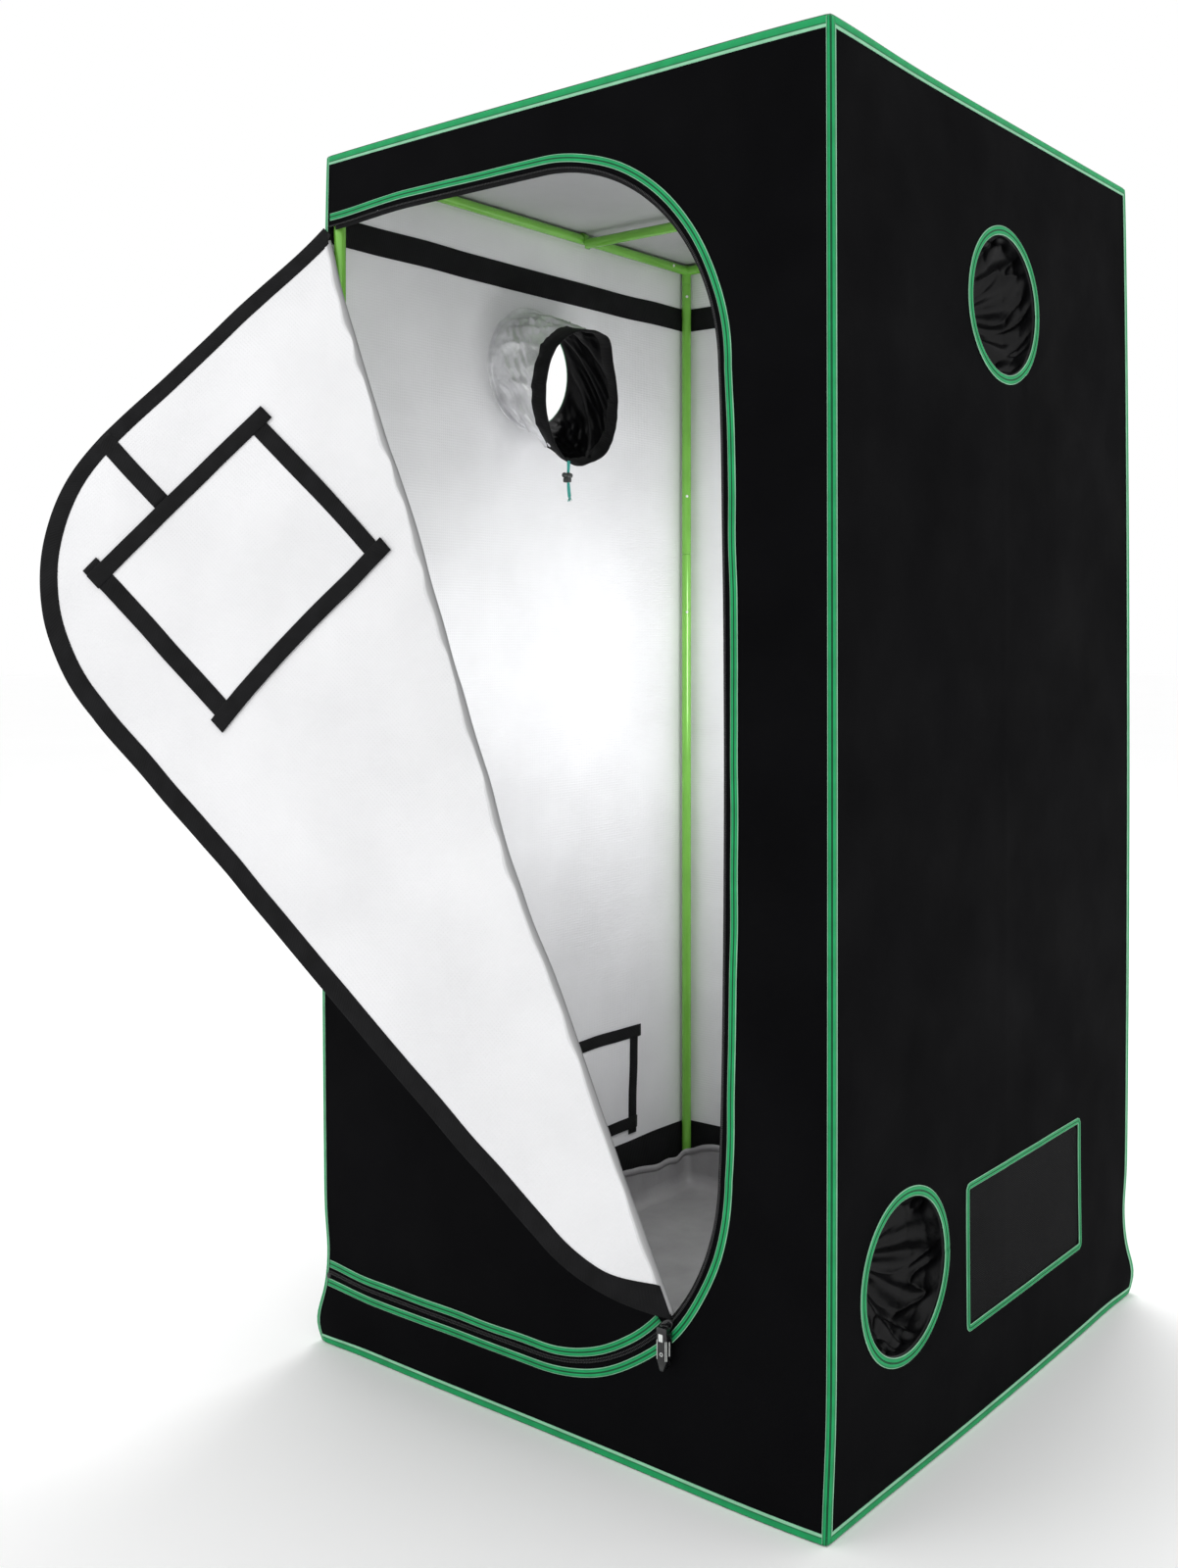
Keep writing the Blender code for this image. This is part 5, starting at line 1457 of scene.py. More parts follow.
        # Painted highlights: a broad bright strip down the front, thin ones near its edges and on
        # its side, and below them a bright ring
        runs = (
            (front, x - 0.001, 0.86, 0.0042, 0.003), (front, x - 0.82 * half, 0.52, 0.011, 0.0003),
            (front, x + 0.82 * half, 0.52, 0.011, 0.0003), (side, middle_y, 0.55, 0.008, 0.0009),
            (side, low.y + 0.0008, 0.52, 0.011, 0.0003),
        )
        surfaces = []
        for place, across, share, reach, wide in runs:
            centre = low.z + share * shoulder
            line, aside = straight((across, centre - reach), (across, centre + reach), 0.001)
            surfaces.append(strip(place, line, aside, -wide, wide, -0.0002, 0.0005, PLAIN))
        turn = np.linspace(0, 2 * np.pi, 24)
        ring = (
            x + 0.0019 * np.cos(turn), np.full(24, low.y),
            low.z + 0.4 * shoulder + 0.0019 * np.sin(turn),
        )
        surfaces.append(tube(np.stack(ring, -1), 0.0004, 8, (0, 1, 0)))
        piece(
            "pull_painted_highlights", joined(surfaces), finish("bright"), "zip_pull",
            closed=True,
        )

    def block(self, x, low, heights, widths, depths):
        """A bar of rounded squares stacked up: powers of cosines and sines round each."""
        middle, thick = sum(depths) / 2, (depths[1] - depths[0]) / 2
        turn = circle(28)
        around, deep = squared(turn, 0.2)
        ends = np.where((heights == heights[0]) | (heights == heights[-1]), 0.85, 1)
        across = x + widths[:, None] * around
        depth = middle + thick * ends[:, None] * deep
        up = np.broadcast_to(low.z + heights[:, None], across.shape)
        uv = stacked(turn[None], heights[:, None])
        return swept(stacked(across, depth, up), uv)


def webbing_runs(place, runs, width, depth, thick, wobble, seed):
    """Straight runs of webbing on the inner side of a cover, each with its own lift off it."""
    surfaces = []
    for i, (first, last, lift) in enumerate(runs):
        line, aside = straight(first, last)
        under = depth - 0.0006 - lift
        surfaces.append(
            strip(place, line, aside, -width / 2, width / 2, under, thick, PLAIN, wobble, seed + i)
        )
    return joined(surfaces)


class TENT_OT_window(bpy.types.Operator):
    """The window's film, its green edge outside, and the webbing-framed cover inside"""

    bl_idname = "tent.window"
    bl_label = "Window"

    def execute(self, context):
        s = sizes()
        a, b = rectangle_grid(
            s.window_left - 0.004, s.window_bottom - 0.004, s.window_right + 0.004,
            s.window_top + 0.004, 0.006,
        )
        film = cloth(a, b, flap, out=-0.0002, flip=True)
        made = piece(
            "window_pane", film, finish("window"), "door_flap_body", ["door_window"],
            0.0006,
        )
        line, aside = rounded_line(
            s.window_left - 0.001, s.window_bottom - 0.001, s.window_right + 0.001,
            s.window_top + 0.001, 0.012,
        )
        edge = strip(flap, line, aside, -0.003, 0.008, 0.0004, 0.0008)
        shell("window_edge_tape", edge, "tape", "door_flap_body")

        lap, depth = 0.024, -s.cloth - 0.0006
        left, right = s.window_left - lap, s.window_right + lap
        bottom, top = s.window_bottom - lap, s.window_top + lap
        a, b = rectangle_grid(left + 0.004, bottom + 0.004, right - 0.004, top - 0.004, 0.006)

        def puff(x, z, out):
            """The flap's place, pushed off it by a sine across times a sine up."""
            bulge = np.sin(np.pi * (x - left) / (right - left))
            bulge = bulge * np.sin(np.pi * (z - bottom) / (top - bottom))
            return flap(x, z, out - 0.0012 * bulge)

        panel = cloth(a, b, puff, out=depth, flip=True)
        made = piece(
            "window_cover_cloth", panel, finish("inner"), "window_cover", ["window_cover"],
            0.0005,
        )
        ear, w = 0.008, s.webbing
        runs = (
            ((left + w / 2, bottom + 0.002), (left + w / 2, top - 0.002), 0.0003),
            ((right - w / 2, bottom + 0.002), (right - w / 2, top + 0.009), 0.0003),
            ((left - ear, bottom + w / 2), (right + ear, bottom + w / 2), 0.0012),
            ((left - ear - 0.002, top - w / 2), (right + 0.001, top - w / 2), 0.0012),
        )
        webbing = webbing_runs(flap, runs, w, depth, -0.0009, 0.0006, 40)
        shell("window_cover_webbing", webbing, "webbing", "window_cover")
        line, aside = straight((0.409, top + 0.0015), (0.409, s.zip_top - 0.004))
        strap = strip(
            flap, line, aside, -w / 2, w / 2, -s.cloth - 0.0003, -0.001, PLAIN, 0.0006, 50
        )
        shell("strap_webbing", strap, "webbing", "door_flap_body", ["window_strap"])
        return {"FINISHED"}


class TENT_OT_vents(bpy.types.Operator):
    """Low mesh vents with green edges and their inner covers"""

    bl_idname = "tent.vents"
    bl_label = "Vents"

    def execute(self, context):
        for name, place, sign in (("left", wall_left, -1), ("right", wall_right, 1)):
            a, b = rectangle_grid(
                VENT_FRONT + 0.004, VENT_BOTTOM + 0.004, VENT_BACK - 0.004, VENT_TOP - 0.004, 0.006
            )
            mesh = cloth(a, b, place, out=-0.0002, flip=sign > 0)
            made = piece(
                f"vent_mesh_{name}", mesh, finish("mesh"), stands_for=[f"vent_panel_{name}"],
                wall=0.0008,
            )
            line, aside = rounded_line(VENT_FRONT, VENT_BOTTOM, VENT_BACK, VENT_TOP, 0.009)
            edge = strip(place, line, -aside, 0.0, 0.008, 0.0003, 0.0009, wobble=0.0004, seed=61)
            shell(f"vent_edge_tape_{name}", edge, "tape")
            self.cover(name, place, sign)
        return {"FINISHED"}

    def cover(self, name, place, sign):
        """The inner cover: white cloth framed in webbing, a little wavy at its edges."""
        s = sizes()
        front, back = VENT_FRONT - 0.021, VENT_BACK + 0.034
        bottom, top = 0.1255, 0.299
        depth = -s.cloth - 0.0006
        body = f"vent_cover_{name}"
        a, b = rectangle_grid(front + 0.004, bottom + 0.004, back - 0.004, top - 0.004, 0.006)
        panel = cloth(a, b, place, out=depth, flip=sign > 0)
        made = piece(
            f"{body}_cloth", panel, finish("inner"), body, [body], 0.0005
        )
        w, ear = 0.02, 0.008
        runs = (
            ((front + w / 2, bottom - ear), (front + w / 2, top - 0.002), 0.0003),
            ((back - w / 2, bottom - ear), (back - w / 2, top - 0.002), 0.0003),
            ((front, bottom + w / 2), (back, bottom + w / 2), 0.0011),
            ((front - ear, top - w / 2), (back + ear, top - w / 2), 0.0011),
        )
        webbing = webbing_runs(place, runs, w, depth, -0.0008, 0.0012, 70)
        shell(f"{body}_webbing", webbing, "webbing", body)


# Inner bands: name, lower and upper edge
BANDS = (("upper", 1.4835, 1.522), ("lower", 0.046, 0.106))


class TENT_OT_bands(bpy.types.Operator):
    """Black webbing round the inside of the left, back and right walls"""

    bl_idname = "tent.bands"
    bl_label = "Inner bands"

    def execute(self, context):
        s = sizes()
        for name, low, high in BANDS:
            clear = s.cloth + 0.0006
            x, y, r = s.width / 2 - clear, s.depth / 2 - clear, 0.006
            stops = np.cumsum(
                [0, 2 * y - r, r * np.pi / 2, 2 * x - 2 * r, r * np.pi / 2, 2 * y - r]
            )
            distance = np.concatenate(
                (
                    np.arange(0, stops[1], 0.008), np.linspace(stops[1], stops[2], 7),
                    np.arange(stops[2] + 0.008, stops[3], 0.008),
                    np.linspace(stops[3], stops[4], 7),
                    np.arange(stops[4] + 0.008, stops[5], 0.008),
                )
            )
            centre_x = np.interp(distance, stops, (-x + r, -x + r, -x + r, x - r, x - r, x - r))
            centre_y = np.interp(distance, stops, (-y, y - r, y - r, y - r, y - r, -y))
            turn = np.radians(np.interp(distance, stops, (180, 180, 90, 90, 0, 0)))
            outwards = stacked(np.cos(turn), np.sin(turn), 0)
            base = stacked(centre_x, centre_y, 0) + r * outwards
            profile = np.array(PLAIN)
            wander = 0.0012 * hills(distance, distance * 0, 0.09, 5)[:, None]
            z = low + (high - low) * profile[None, :, 0] + wander
            rows = base[:, None] - 0.001 * profile[None, :, 1:] * outwards[:, None]
            rows = rows + z[..., None] * np.array((0, 0, 1))
            uv = stacked(profile[None, :, 0], distance[:, None])
            surface = swept(rows, uv)
            surface = (settled(surface[0]), surface[1], surface[2])
            shell(f"band_{name}_webbing", surface, "webbing", stands_for=[f"band_{name}"])
        return {"FINISHED"}


# How far the tray's rim stands above its height: along the left side, and along the back
RIM_LEFT = (
    (-0.38, 0), (0.0, 0.003), (0.13, 0.008), (0.2, 0.011), (0.25, 0.005), (0.3, -0.004), (0.38, 0)
)
RIM_BACK = (
    (-0.38, 0.0), (-0.36, 0.008), (-0.34, 0.019), (-0.31, 0.021), (-0.2, 0.014), (0, 0.005),
    (0.38, 0),
)


class TENT_OT_tray(bpy.types.Operator):
    """The loose grey floor tray with its wavy stitched rim"""

    bl_idname = "tent.tray"
    bl_label = "Floor tray"

    def execute(self, context):
        s = sizes()
        low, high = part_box("floor_tray")
        half_x, half_y, step = high.x, high.y, 0.006
        line, aside = rounded_line(-half_x, -half_y, half_x, half_y, 0.012, step)
        line, aside = line[:-1], aside[:-1]
        count = len(line)
        reach = np.arange(count) * step
        period = reach / (count * step) * 2 * np.pi
        round_x, round_y = np.cos(period) * 0.5 + 1, np.sin(period) * 0.5 + 1
        wave = 0.5 * hills(round_x, round_y, 0.06, 17)
        wave = wave + 0.5 * hills(round_x, round_y, 0.025, 18)
        shares = np.concatenate((np.linspace(0.02, 0.92, 36), np.linspace(0.93, 1, 12)))
        bottom, bend = low.z + 0.0015, 0.022
        rows, heights = [], []
        for share in shares:
            rows.append(line * share)
            past = max(bend - (1 - share) * half_x, 0)
            hump = 0.0022 * (hills(line[:, 0] * share + 2, line[:, 1] * share + 2, 0.08, 19) + 0.9)
            heights.append(
                bottom + hump * min(1, (1 - share) * 12) + bend - math.sqrt(bend**2 - past**2)
            )
        on_left, on_back = line[:, 0] < 0.02 - half_x, line[:, 1] > half_y - 0.02
        rise = np.where(on_left, np.interp(line[:, 1], *zip(*RIM_LEFT)), 0)
        rise = np.where(on_back, np.interp(line[:, 0], *zip(*RIM_BACK)), rise)
        rise = np.convolve(np.pad(rise, 2, "wrap"), np.ones(5) / 5, "valid")
        rim = s.tray - bottom - 0.0015 + rise + 0.003 * (wave - 0.3)
        for share in np.linspace(0.06, 1, 14):
            lean = 0.004 * share * (wave - 0.55)
            rows.append(line + aside * np.minimum(lean, 0)[:, None])
            heights.append(bottom + bend + share * (rim - bend))
        flat = np.array(rows)
        points = np.concatenate((flat, np.array(heights)[..., None]), -1)
        uv = flat.copy()
        uv[len(shares):, :, 1] += np.array(heights)[len(shares):]
        faces = quads(len(points), count, loop=True).tolist()
        faces.append(list(range(count))[::-1])
        made = piece(
            "tray_cloth", (points.reshape(-1, 3), faces, uv.reshape(-1, 2)), finish("tray"),
            stands_for=["floor_tray"], wall=0.0011,
        )
        rim = points[-1]
        loop = np.concatenate((rim, rim[:1]))
        around = np.concatenate((aside, aside[:1]))
        outwards = np.column_stack((around, np.zeros(len(around))))
        profile = np.array(PLAIN)
        z = np.array((0, 0, 1))
        section = loop[:, None] + (0.0013 - 0.0022 * profile[None, :, 1:]) * -outwards[:, None]
        section = section + (profile[None, :, :1] - 1) * 0.011 * z
        uv = stacked(profile[None, :, 0], np.arange(len(loop))[:, None] * step)
        hem = shell("tray_hem", gridded(section, uv), "tray")
        return {"FINISHED"}


# Rings of the open sleeve: shares of its length, half width, half height, droop and folds
OPEN_SLEEVE_SHARES = (
    (0.0, 1.0, 1.0, 0.0, 0.0), (0.25, 1.02, 1.05, 0.2, 0.15), (0.55, 1.03, 1.08, 0.55, 0.5),
    (0.8, 0.99, 1.12, 0.84, 0.85), (1.0, 0.95, 1.14, 1.0, 1.0),
)
# The open sleeve's folded mouth: share of a turn from the back, and radius share there
MOUTH_FOLD_SHARES = (
    (0.0, 1.02), (0.1, 1.1), (0.145, 1.3), (0.18, 1.2), (0.23, 1.07), (0.29, 1.0), (0.38, 0.98),
    (0.5, 0.96), (0.61, 1.01), (0.68, 1.04), (0.75, 1.0), (0.79, 0.97), (0.88, 1.04), (1.0, 1.02),
)
# Rings of a sleeve drawn shut: share of its length, share of its radius, share of the pleats
DRAWN_SLEEVE_SHARES = (
    (0.0, 1.0, 0.0), (0.2, 0.97, 0.3), (0.42, 0.85, 0.9), (0.62, 0.62, 1.0), (0.78, 0.36, 0.7),
    (0.88, 0.15, 0.2), (1.0, 0.17, 0.25),
)
SLEEVE_LENGTH = 0.1
# A sleeve's base: the width of its flange and its way in from the wall's outer face
FLANGE = 0.008
SLEEVE_GAP = 0.0019
SLEEVE_DROOP = 0.055
DRAWN_LENGTH = 0.078
CORD_LENGTH = 0.056
CORD_DIAMETER = 0.003
# A spring lock, and its outline: share of its length, share of its radius
LOCK_RADIUS = 0.0062
LOCK_LENGTH = 0.015
LOCK_SHARES = (
    (0, 0), (0.03, 0.8), (0.12, 1), (0.4, 1), (0.5, 0.86), (0.6, 1), (0.9, 1), (0.97, 0.8), (1, 0)
)


def read_table(table, at):
    """Each column of a table, read off straight between its rows."""
    table = np.array(table)
    at = np.asarray(at)
    return [np.interp(at, table[:, 0], table[:, i]) for i in range(1, table.shape[1])]


MOUTH_BLUR = np.hanning(9)


def folded_mouth(turn_share):
    """The radius share round the folded mouth, with its corners rounded a little."""
    stops, radii = zip(*MOUTH_FOLD_SHARES)
    fine = np.linspace(0, 1, 241)
    wide = np.interp(fine, stops, radii)
    padded = np.concatenate((wide[-5:-1], wide, wide[1:5]))
    smooth = np.convolve(padded, MOUTH_BLUR / MOUTH_BLUR.sum(), "valid")
    return np.interp(turn_share, fine, smooth)


def open_sleeve(share, turn, grow=0.0):
    """The open sleeve: rings that droop, widen and fold towards the mouth, with long creases.

    grow moves the surface outwards.
    """
    s = sizes()
    radius = s.port_radius - 0.001
    wide, tall, droop, folds = read_table(OPEN_SLEEVE_SHARES, share)
    swing = 1 + folds * (folded_mouth(turn / (2 * np.pi) % 1) - 1)
    lean = turn + 1.1 * share
    crinkle = 0.012 * (ridges(np.cos(lean) + 2, np.sin(lean) + 0.55 * share + 2, 0.3, 83) - 0.5)
    fine = 0.0024 * hills(np.cos(turn) * 1.2 + 2, np.sin(turn) * 1.2 + 1.5 * share, 0.1, 84)
    loose = np.sin(np.pi * np.clip(share, 0, 0.9) / 0.9) * 0.9 + 0.15 * eased(share * 6)
    flange = FLANGE * (1 - eased(share / 0.03 + 1))
    reach = radius * swing + (crinkle + fine) * loose + grow + flange
    y = TOP_PORT_Y + wide * reach * np.cos(turn)
    z = s.top_port - droop * SLEEVE_DROOP + tall * reach * np.sin(turn)
    wall = wall_left(y, z, -SLEEVE_GAP)[..., 0]
    flat = SLEEVE_GAP - s.width / 2
    x = wall + (flat - wall) * eased(share * 3) + np.maximum(share, 0) * SLEEVE_LENGTH
    return stacked(x, y - s.depth / 2, z)


def drawn_sleeve(share, turn, centre, seed):
    """A sleeve drawn shut behind its port: the radius shrinks and the cloth pleats."""
    s = sizes()
    radius = s.port_radius - 0.001
    wide, pleat = read_table(DRAWN_SLEEVE_SHARES, share)
    waves = np.cos(turn * 13 + 2.5 * share + 0.7 * np.sin(3 * turn))
    waves = waves + 0.6 * np.cos(turn * 7 + 1.3)
    around = radius * wide + pleat * 0.0042 * waves
    crumple = ridges(np.cos(turn) * 2 + 4, np.sin(turn) * 2 + 2.2 * share + 4, 0.42, seed) - 0.5
    around = around + 0.012 * crumple * wide * eased(share * 5)
    around = around + FLANGE * (1 - eased(share / 0.03 + 1))
    y, z = centre[0] + around * np.cos(turn), centre[1] + around * np.sin(turn)
    wall = wall_right(y, z, -SLEEVE_GAP)[..., 0]
    flat = s.width / 2 - SLEEVE_GAP
    swing = 1 + 0.05 * np.cos(5 * turn) * eased(share * 4)
    x = wall + (flat - wall) * eased(share * 3) - np.maximum(share, 0) * DRAWN_LENGTH * swing
    return stacked(x, y - s.depth / 2, z)


# Section of the open sleeve's hem: share of its length, way out of the cloth
SLEEVE_LIP = (
    (0.78, 0.0002), (0.78, 0.001), (0.9, 0.0013), (0.99, 0.0014), (1.012, 0.0006), (1.012, -0.0012),
    (0.99, -0.002), (0.8, -0.0018), (0.79, -0.001),
)


class TENT_OT_ports(bpy.types.Operator):
    """Round ports: green rings, the open silver sleeve and the two sleeves drawn shut"""

    bl_idname = "tent.ports"
    bl_label = "Ports and sleeves"

    def execute(self, context):
        s = sizes()
        ports = (
            ("left_top", wall_left, TOP_PORT_Y, s.top_port),
            ("right_top", wall_right, TOP_PORT_Y, s.top_port),
            ("right_low", wall_right, LOW_PORT_Y, s.low_port),
        )
        for i, (name, place, y, z) in enumerate(ports):
            line, aside = ring_line((y, z), s.port_radius - 0.0015, 120)
            ring = strip(
                place, line, aside, 0.0, s.port_ring, 0.0003, 0.0011, wobble=0.0006, seed=90 + i
            )
            shell(f"port_tape_{name}", ring, "tape", stands_for=[f"port_ring_{name}"])
        self.open_one()
        self.drawn("right_top", TOP_PORT_Y, s.top_port, 95)
        self.drawn("right_low", LOW_PORT_Y, s.low_port, 97)
        return {"FINISHED"}

    def open_one(self):
        """The open sleeve, silver inside, with its black hem."""
        turn = circle(180)
        share = np.concatenate(((-0.03, -0.02, -0.01), np.linspace(0, 1, 57)))[:, None]
        points = open_sleeve(share, turn[None])
        around = np.broadcast_to(turn * 0.09, points.shape[:2])
        uv = stacked(around, share * SLEEVE_LENGTH)
        surface = gridded(points, uv)
        made = piece(
            "sleeve_open", surface, [finish("silver"), finish("dull")],
            stands_for=["sleeve_left_top"], wall=0.0009,
        )
        lip = np.array(SLEEVE_LIP)
        full = np.linspace(0, 2 * np.pi, 181)
        rows = open_sleeve(lip[None, :, 0], full[:, None], lip[None, :, 1])
        reach = np.broadcast_to(full[:, None] * 0.09, rows.shape[:2])
        mark = stacked(np.linspace(0, 1, len(lip)), reach)
        hem = piece(
            "sleeve_open_hem", gridded(rows, mark), finish("webbing"),
            closed=True,
        )

    def drawn(self, name, from_front, height, seed):
        """A sleeve drawn shut behind a port of the right wall."""
        turn = circle(240)
        share = np.concatenate(((-0.03, -0.02, -0.01), np.linspace(0, 1, 61)))[:, None]
        points = drawn_sleeve(share, turn[None], (from_front, height), seed)
        around = np.broadcast_to(turn * 0.09, points.shape[:2])
        uv = stacked(around, share * DRAWN_LENGTH)
        faces = quads(*points.shape[:2], loop=True)[:, ::-1]
        made = piece(
            f"sleeve_drawn_{name}", (points.reshape(-1, 3), faces, uv.reshape(-1, 2)),
            [finish("silver"), finish("glossy")], stands_for=[f"sleeve_{name}"],
            wall=0.0009,
        )


class TENT_OT_cords(bpy.types.Operator):
    """The open sleeve's drawstring with its lock, and the locks of the drawn sleeves"""

    bl_idname = "tent.cords"
    bl_label = "Cords and locks"

    def execute(self, context):
        low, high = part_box("drawstring_left")
        route = np.array(
            (
                (0, 0, 0), (0, 0, 0.12), (0, 0, 0.3), (0, 0, 0.5), (0, 0, 0.68),
                (0.02, -0.01, 0.84), (0.06, -0.03, 0.99),
            )
        )
        fine = np.linspace(0, 1, 28)
        stops = np.linspace(0, 1, len(route))
        path = np.stack([np.interp(fine, stops, route[:, i]) for i in range(3)], -1)
        hem = np.array((low.x + CORD_DIAMETER / 2, high.y - CORD_DIAMETER / 2, high.z))
        path = hem + path * CORD_LENGTH * np.array((1, 1, -1))
        radii = np.full(len(path), CORD_DIAMETER / 2)
        strand = tube(path, radii, 14, (0, 1, 0))
        made = shell(
            "drawstring_strand", capped(strand, len(path), 14), "cord",
            stands_for=["drawstring_left"],
        )
        second = path + np.array((0.0, 0.0031, 0)) * (1 - 0.6 * bell(fine - 0.45, 0.2))[:, None]
        second[:, 2] += 0.002 * fine
        other = shell(
            "drawstring_second", capped(tube(second, radii * 0.9, 14, (0, 1, 0)), len(path), 14),
            "cord",
        )
        frays = []
        spread = np.linspace(0, 1, 8)[:, None]
        for end in (path[-1], second[-1]):
            for k in range(9):
                way = np.array((0.35 * math.cos(k * 2.4), 0.35 * math.sin(k * 2.4), -1.0))
                frays.append(
                    tube(end + spread * way * 0.005 * (1 + 0.3 * math.sin(k)), 0.0003, 6, (0, 1, 0))
                )
        ends = shell("drawstring_frays", joined(frays), "cord")
        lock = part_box("cord_lock_left_top")
        self.lock("cord_lock_left_top", lock, "cord_lock_left_top")
        for name in ("cord_lock_right_top", "cord_lock_right_low"):
            self.lock(name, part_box(name), "root", tail=True)
        return {"FINISHED"}

    def lock(self, node, box, body, tail=False):
        """A spring lock: a waisted barrel and two side lobes."""
        low, high = box
        x, y = (low.x + high.x) / 2, (low.y + high.y) / 2
        top = high.z
        share = np.linspace(0, 1, 30)
        depth = share * LOCK_LENGTH
        radii = LOCK_RADIUS * read_table(LOCK_SHARES, share)[0]
        path = np.column_stack((np.full(30, x), np.full(30, y), top - depth))
        surfaces = [tube(path, radii, 24, (0, 1, 0))]
        for side in (-1, 1):
            surfaces.append(ball((x, y + side * 0.0065, top - 0.004), (0.004, 0.004, 0.004)))
        shell(f"{node}_spring", joined(surfaces), "plastic", body, [node])
        if tail:
            ends = []
            for side in (-1, 1):
                steps = np.linspace(0, 1, 16)
                route = np.column_stack(
                    (
                        x + 0 * steps, y + side * (0.0016 + 0.004 * steps**2),
                        top - 0.013 - steps * (top - low.z - 0.0135),
                    )
                )
                strand = tube(route, CORD_DIAMETER / 2.2, 12, (0, 1, 0))
                ends.append(capped(strand, 16, 12))
            shell(f"{node}_tails", joined(ends), "cord", body)


CORNERS = {
    "front_left": (-1, -1), "front_right": (1, -1), "back_left": (-1, 1), "back_right": (1, 1)
}


# A fitting's arm, the gap at a joint, and how far out the buttons stand on arms and posts
FITTING_ARM = 0.024
POLE_GAP = 0.0003
ARM_BUTTON = 0.046
POST_BUTTON = 0.1005


def button(centre, way, radius=0.0025, rise=0.0022):
    """A sprung button: a short rod with a domed head along a direction."""
    way = np.array(way, float) / np.linalg.norm(way)
    share = np.linspace(0, 1, 12)
    head = np.concatenate(((0,), rise * np.sin(share * np.pi / 2)))
    radii = np.concatenate(((0,), radius * np.cos(share * np.pi / 2) ** 0.6))
    guide = (0, 0, 1) if abs(way[2]) < 0.8 else (1, 0, 0)
    return tube(
        np.array(centre) + (head - 0.001 + np.arange(13) * 1e-7)[:, None] * way, radii, 16, guide
    )


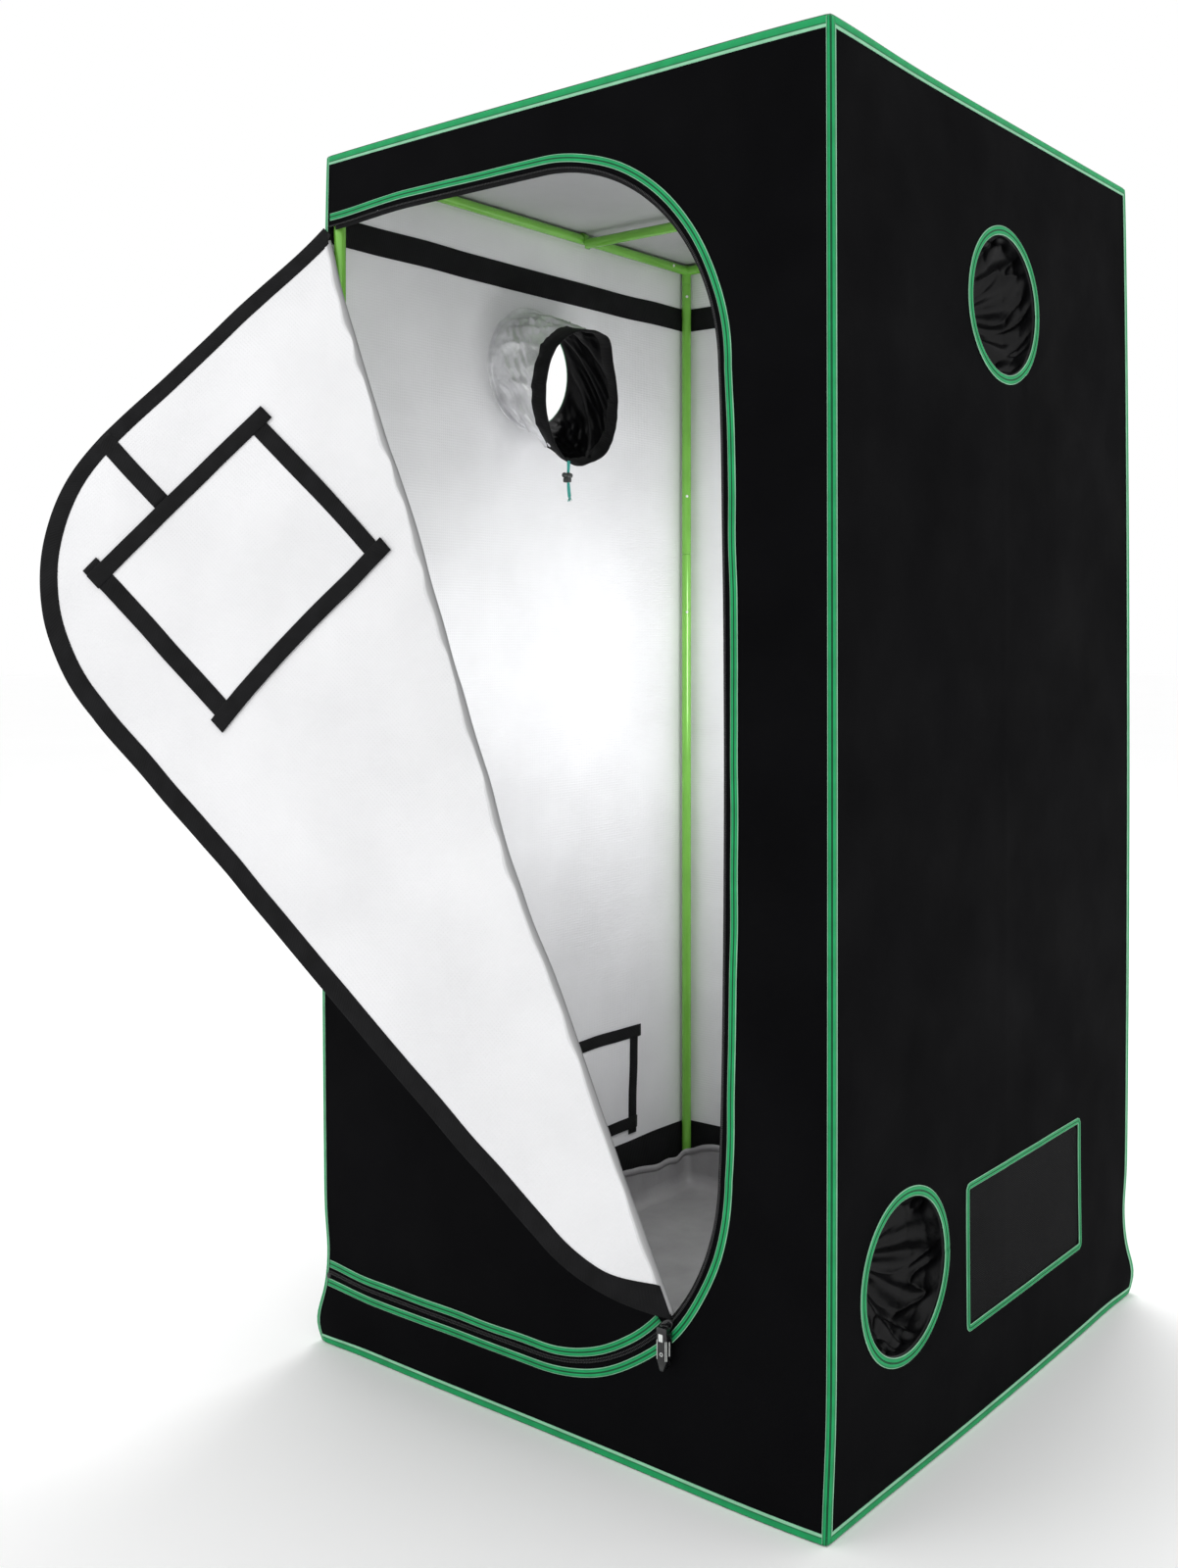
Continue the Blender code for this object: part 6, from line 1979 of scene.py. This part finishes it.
class TENT_OT_poles(bpy.types.Operator):
    """Posts, rails, corner fittings, snap buttons and the hanging bar"""

    bl_idname = "tent.poles"
    bl_label = "Poles"

    def execute(self, context):
        s = sizes()
        x, y = s.width / 2 - s.pole_inset, s.depth / 2 - s.pole_inset
        low, high = s.pole_inset, s.height - s.pole_inset
        arm, gap = FITTING_ARM, POLE_GAP
        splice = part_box("post_upper_front_left")[0].z
        for place, (side, depth) in CORNERS.items():
            inward = np.array((-side, -depth, 0))
            axis = np.array((side * x, depth * y, 0))
            face = axis + inward / math.sqrt(2) * s.pole_radius
            lower = [
                rod(axis + (0, 0, low + arm + gap), axis + (0, 0, splice - gap), s.pole_radius)
            ]
            studs = [
                button(face + (0, 0, splice + reach), inward)
                for reach in (-POST_BUTTON, POST_BUTTON)
            ]
            self.part(f"post_lower_{place}", lower, buttons=studs)
            upper = [rod(axis + (0, 0, splice), axis + (0, 0, high - arm - gap), s.pole_radius)]
            self.part(f"post_upper_{place}", upper)
            for level, z in (("top", high), ("bottom", low)):
                self.fitting(
                    f"corner_fitting_{level}_{place}", axis + (0, 0, z), side, depth, level
                )
        for level, z in (("top", high), ("bottom", low)):
            for side, place in ((-1, "left"), (1, "right")):
                ends = [(side * x, end * (y - arm - gap), z) for end in (-1, 1)]
                self.part(f"rail_{level}_{place}", [rod(*ends, s.pole_radius)])
            for depth, place in ((-1, "front"), (1, "back")):
                ends = [(end * (x - arm - gap), depth * y, z) for end in (-1, 1)]
                self.part(f"rail_{level}_{place}", [rod(*ends, s.pole_radius)])
        self.bar(x, high)
        self.loose_button(x, y, high)
        return {"FINISHED"}

    def part(self, node, surfaces, kind="pole", body="root", buttons=()):
        """A steel part that stands for its node, and the buttons on it."""
        shell(f"{node}_steel", joined(surfaces), kind, body, [node])
        if buttons:
            shell(f"{node}_buttons", joined(buttons), "steel", body)

    def fitting(self, node, centre, side, depth, level):
        """A rounded corner with three arms, each with a button beyond it."""
        s = sizes()
        step = -1 if level == "top" else 1
        surfaces = [ball(centre, (0.0102,) * 3, 20, 28)]
        ways = ((-side, 0, 0), (0, -depth, 0), (0, 0, step))
        facing = ((0, -depth, 0), (-side, 0, 0), (-side, -depth, 0))
        studs = []
        for way, face in zip(ways, facing):
            way = np.array(way, float)
            face = np.array(face, float) / np.linalg.norm(face)
            surfaces.append(rod(centre, centre + FITTING_ARM * way, s.pole_radius))
            if node == "corner_fitting_top_back_left" and way[2]:
                continue
            studs.append(button(centre + ARM_BUTTON * way + face * s.pole_radius, face))
        self.part(node, surfaces, buttons=studs)

    def loose_button(self, x, y, high):
        """The one snap button that moves, at the top of the back left post."""
        face = np.array((1, -1, 0)) / math.sqrt(2)
        centre = np.array((-x, y, high - ARM_BUTTON)) + face * sizes().pole_radius
        self.part("snap_button_back_left", [button(centre, face)], "steel", "snap_button")

    def bar(self, x, high):
        """The hanging bar with a flat hook over each side rail."""
        s = sizes()
        low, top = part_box("hanging_bar")
        y, bar_z = (low.y + top.y) / 2, high - 0.008
        half = x - s.pole_radius - POLE_GAP - 0.001
        surfaces = [rod((-half, y, bar_z), (half, y, bar_z), s.pole_radius)]
        for side in (-1, 1):
            turn = np.radians(np.linspace(-30, 180, 34))
            radius = s.pole_radius + 0.0013
            arc = np.column_stack((radius * np.cos(turn), radius * np.sin(turn)))
            drop = np.linspace(0, -0.014, 8)[1:]
            path = np.concatenate((arc, np.column_stack((np.full(7, -radius), drop))))
            path = np.concatenate((path, ((-radius - 0.001, -0.0155),)))
            way = np.gradient(path, axis=0)
            way /= np.hypot(*way.T)[:, None]
            aside = np.column_stack((way[:, 1], -way[:, 0]))
            profile = np.array(PLAIN) - 0.5
            flat = path[:, None] + 0.002 * profile[None, :, 1:] * aside[:, None]
            depth = np.broadcast_to(y + 0.01 * profile[None, :, 0], flat.shape[:2])
            points = stacked(side * (x + flat[..., 0]), depth, high + flat[..., 1])
            uv = stacked(profile[None, :, 0], path[:, :1])
            surfaces.append(swept(points, uv))
        shell("hanging_bar_steel", joined(surfaces), "pole", "hanging_bar", ["hanging_bar"])


class TENT_PT_build(bpy.types.Panel):
    """Lists the steps that build the tent"""

    bl_idname = "TENT_PT_build"
    bl_label = "Grow Tent"
    bl_space_type = "VIEW_3D"
    bl_region_type = "UI"
    bl_category = "Grow Tent"

    def draw(self, context):
        for step in STEPS:
            self.layout.operator(step.bl_idname)
        for group in (context.scene.tent_sizes, context.scene.tent_colours):
            box = self.layout.box()
            for name in group.__annotations__:
                box.prop(group, name)


STEPS = (
    TENT_OT_stage, TENT_OT_cords, TENT_OT_cover, TENT_OT_binding, TENT_OT_door, TENT_OT_zip,
    TENT_OT_window, TENT_OT_vents, TENT_OT_bands, TENT_OT_tray, TENT_OT_ports, TENT_OT_poles,
)
CLASSES = (TentSizes, TentColours, *STEPS, TENT_PT_build)


def register():
    """Registers the classes and the two property groups."""
    for each in CLASSES:
        bpy.utils.register_class(each)
    bpy.types.Scene.tent_sizes = PointerProperty(type=TentSizes)
    bpy.types.Scene.tent_colours = PointerProperty(type=TentColours)


def unregister():
    """Takes the property groups and the classes out again."""
    del bpy.types.Scene.tent_colours
    del bpy.types.Scene.tent_sizes
    for each in reversed(CLASSES):
        bpy.utils.unregister_class(each)


def main():
    """Builds the tent step by step."""
    register()
    for step in STEPS:
        group, name = step.bl_idname.split(".")
        getattr(getattr(bpy.ops, group), name)()
    bpy.context.view_layer.update()


if __name__ == "__main__":
    main()
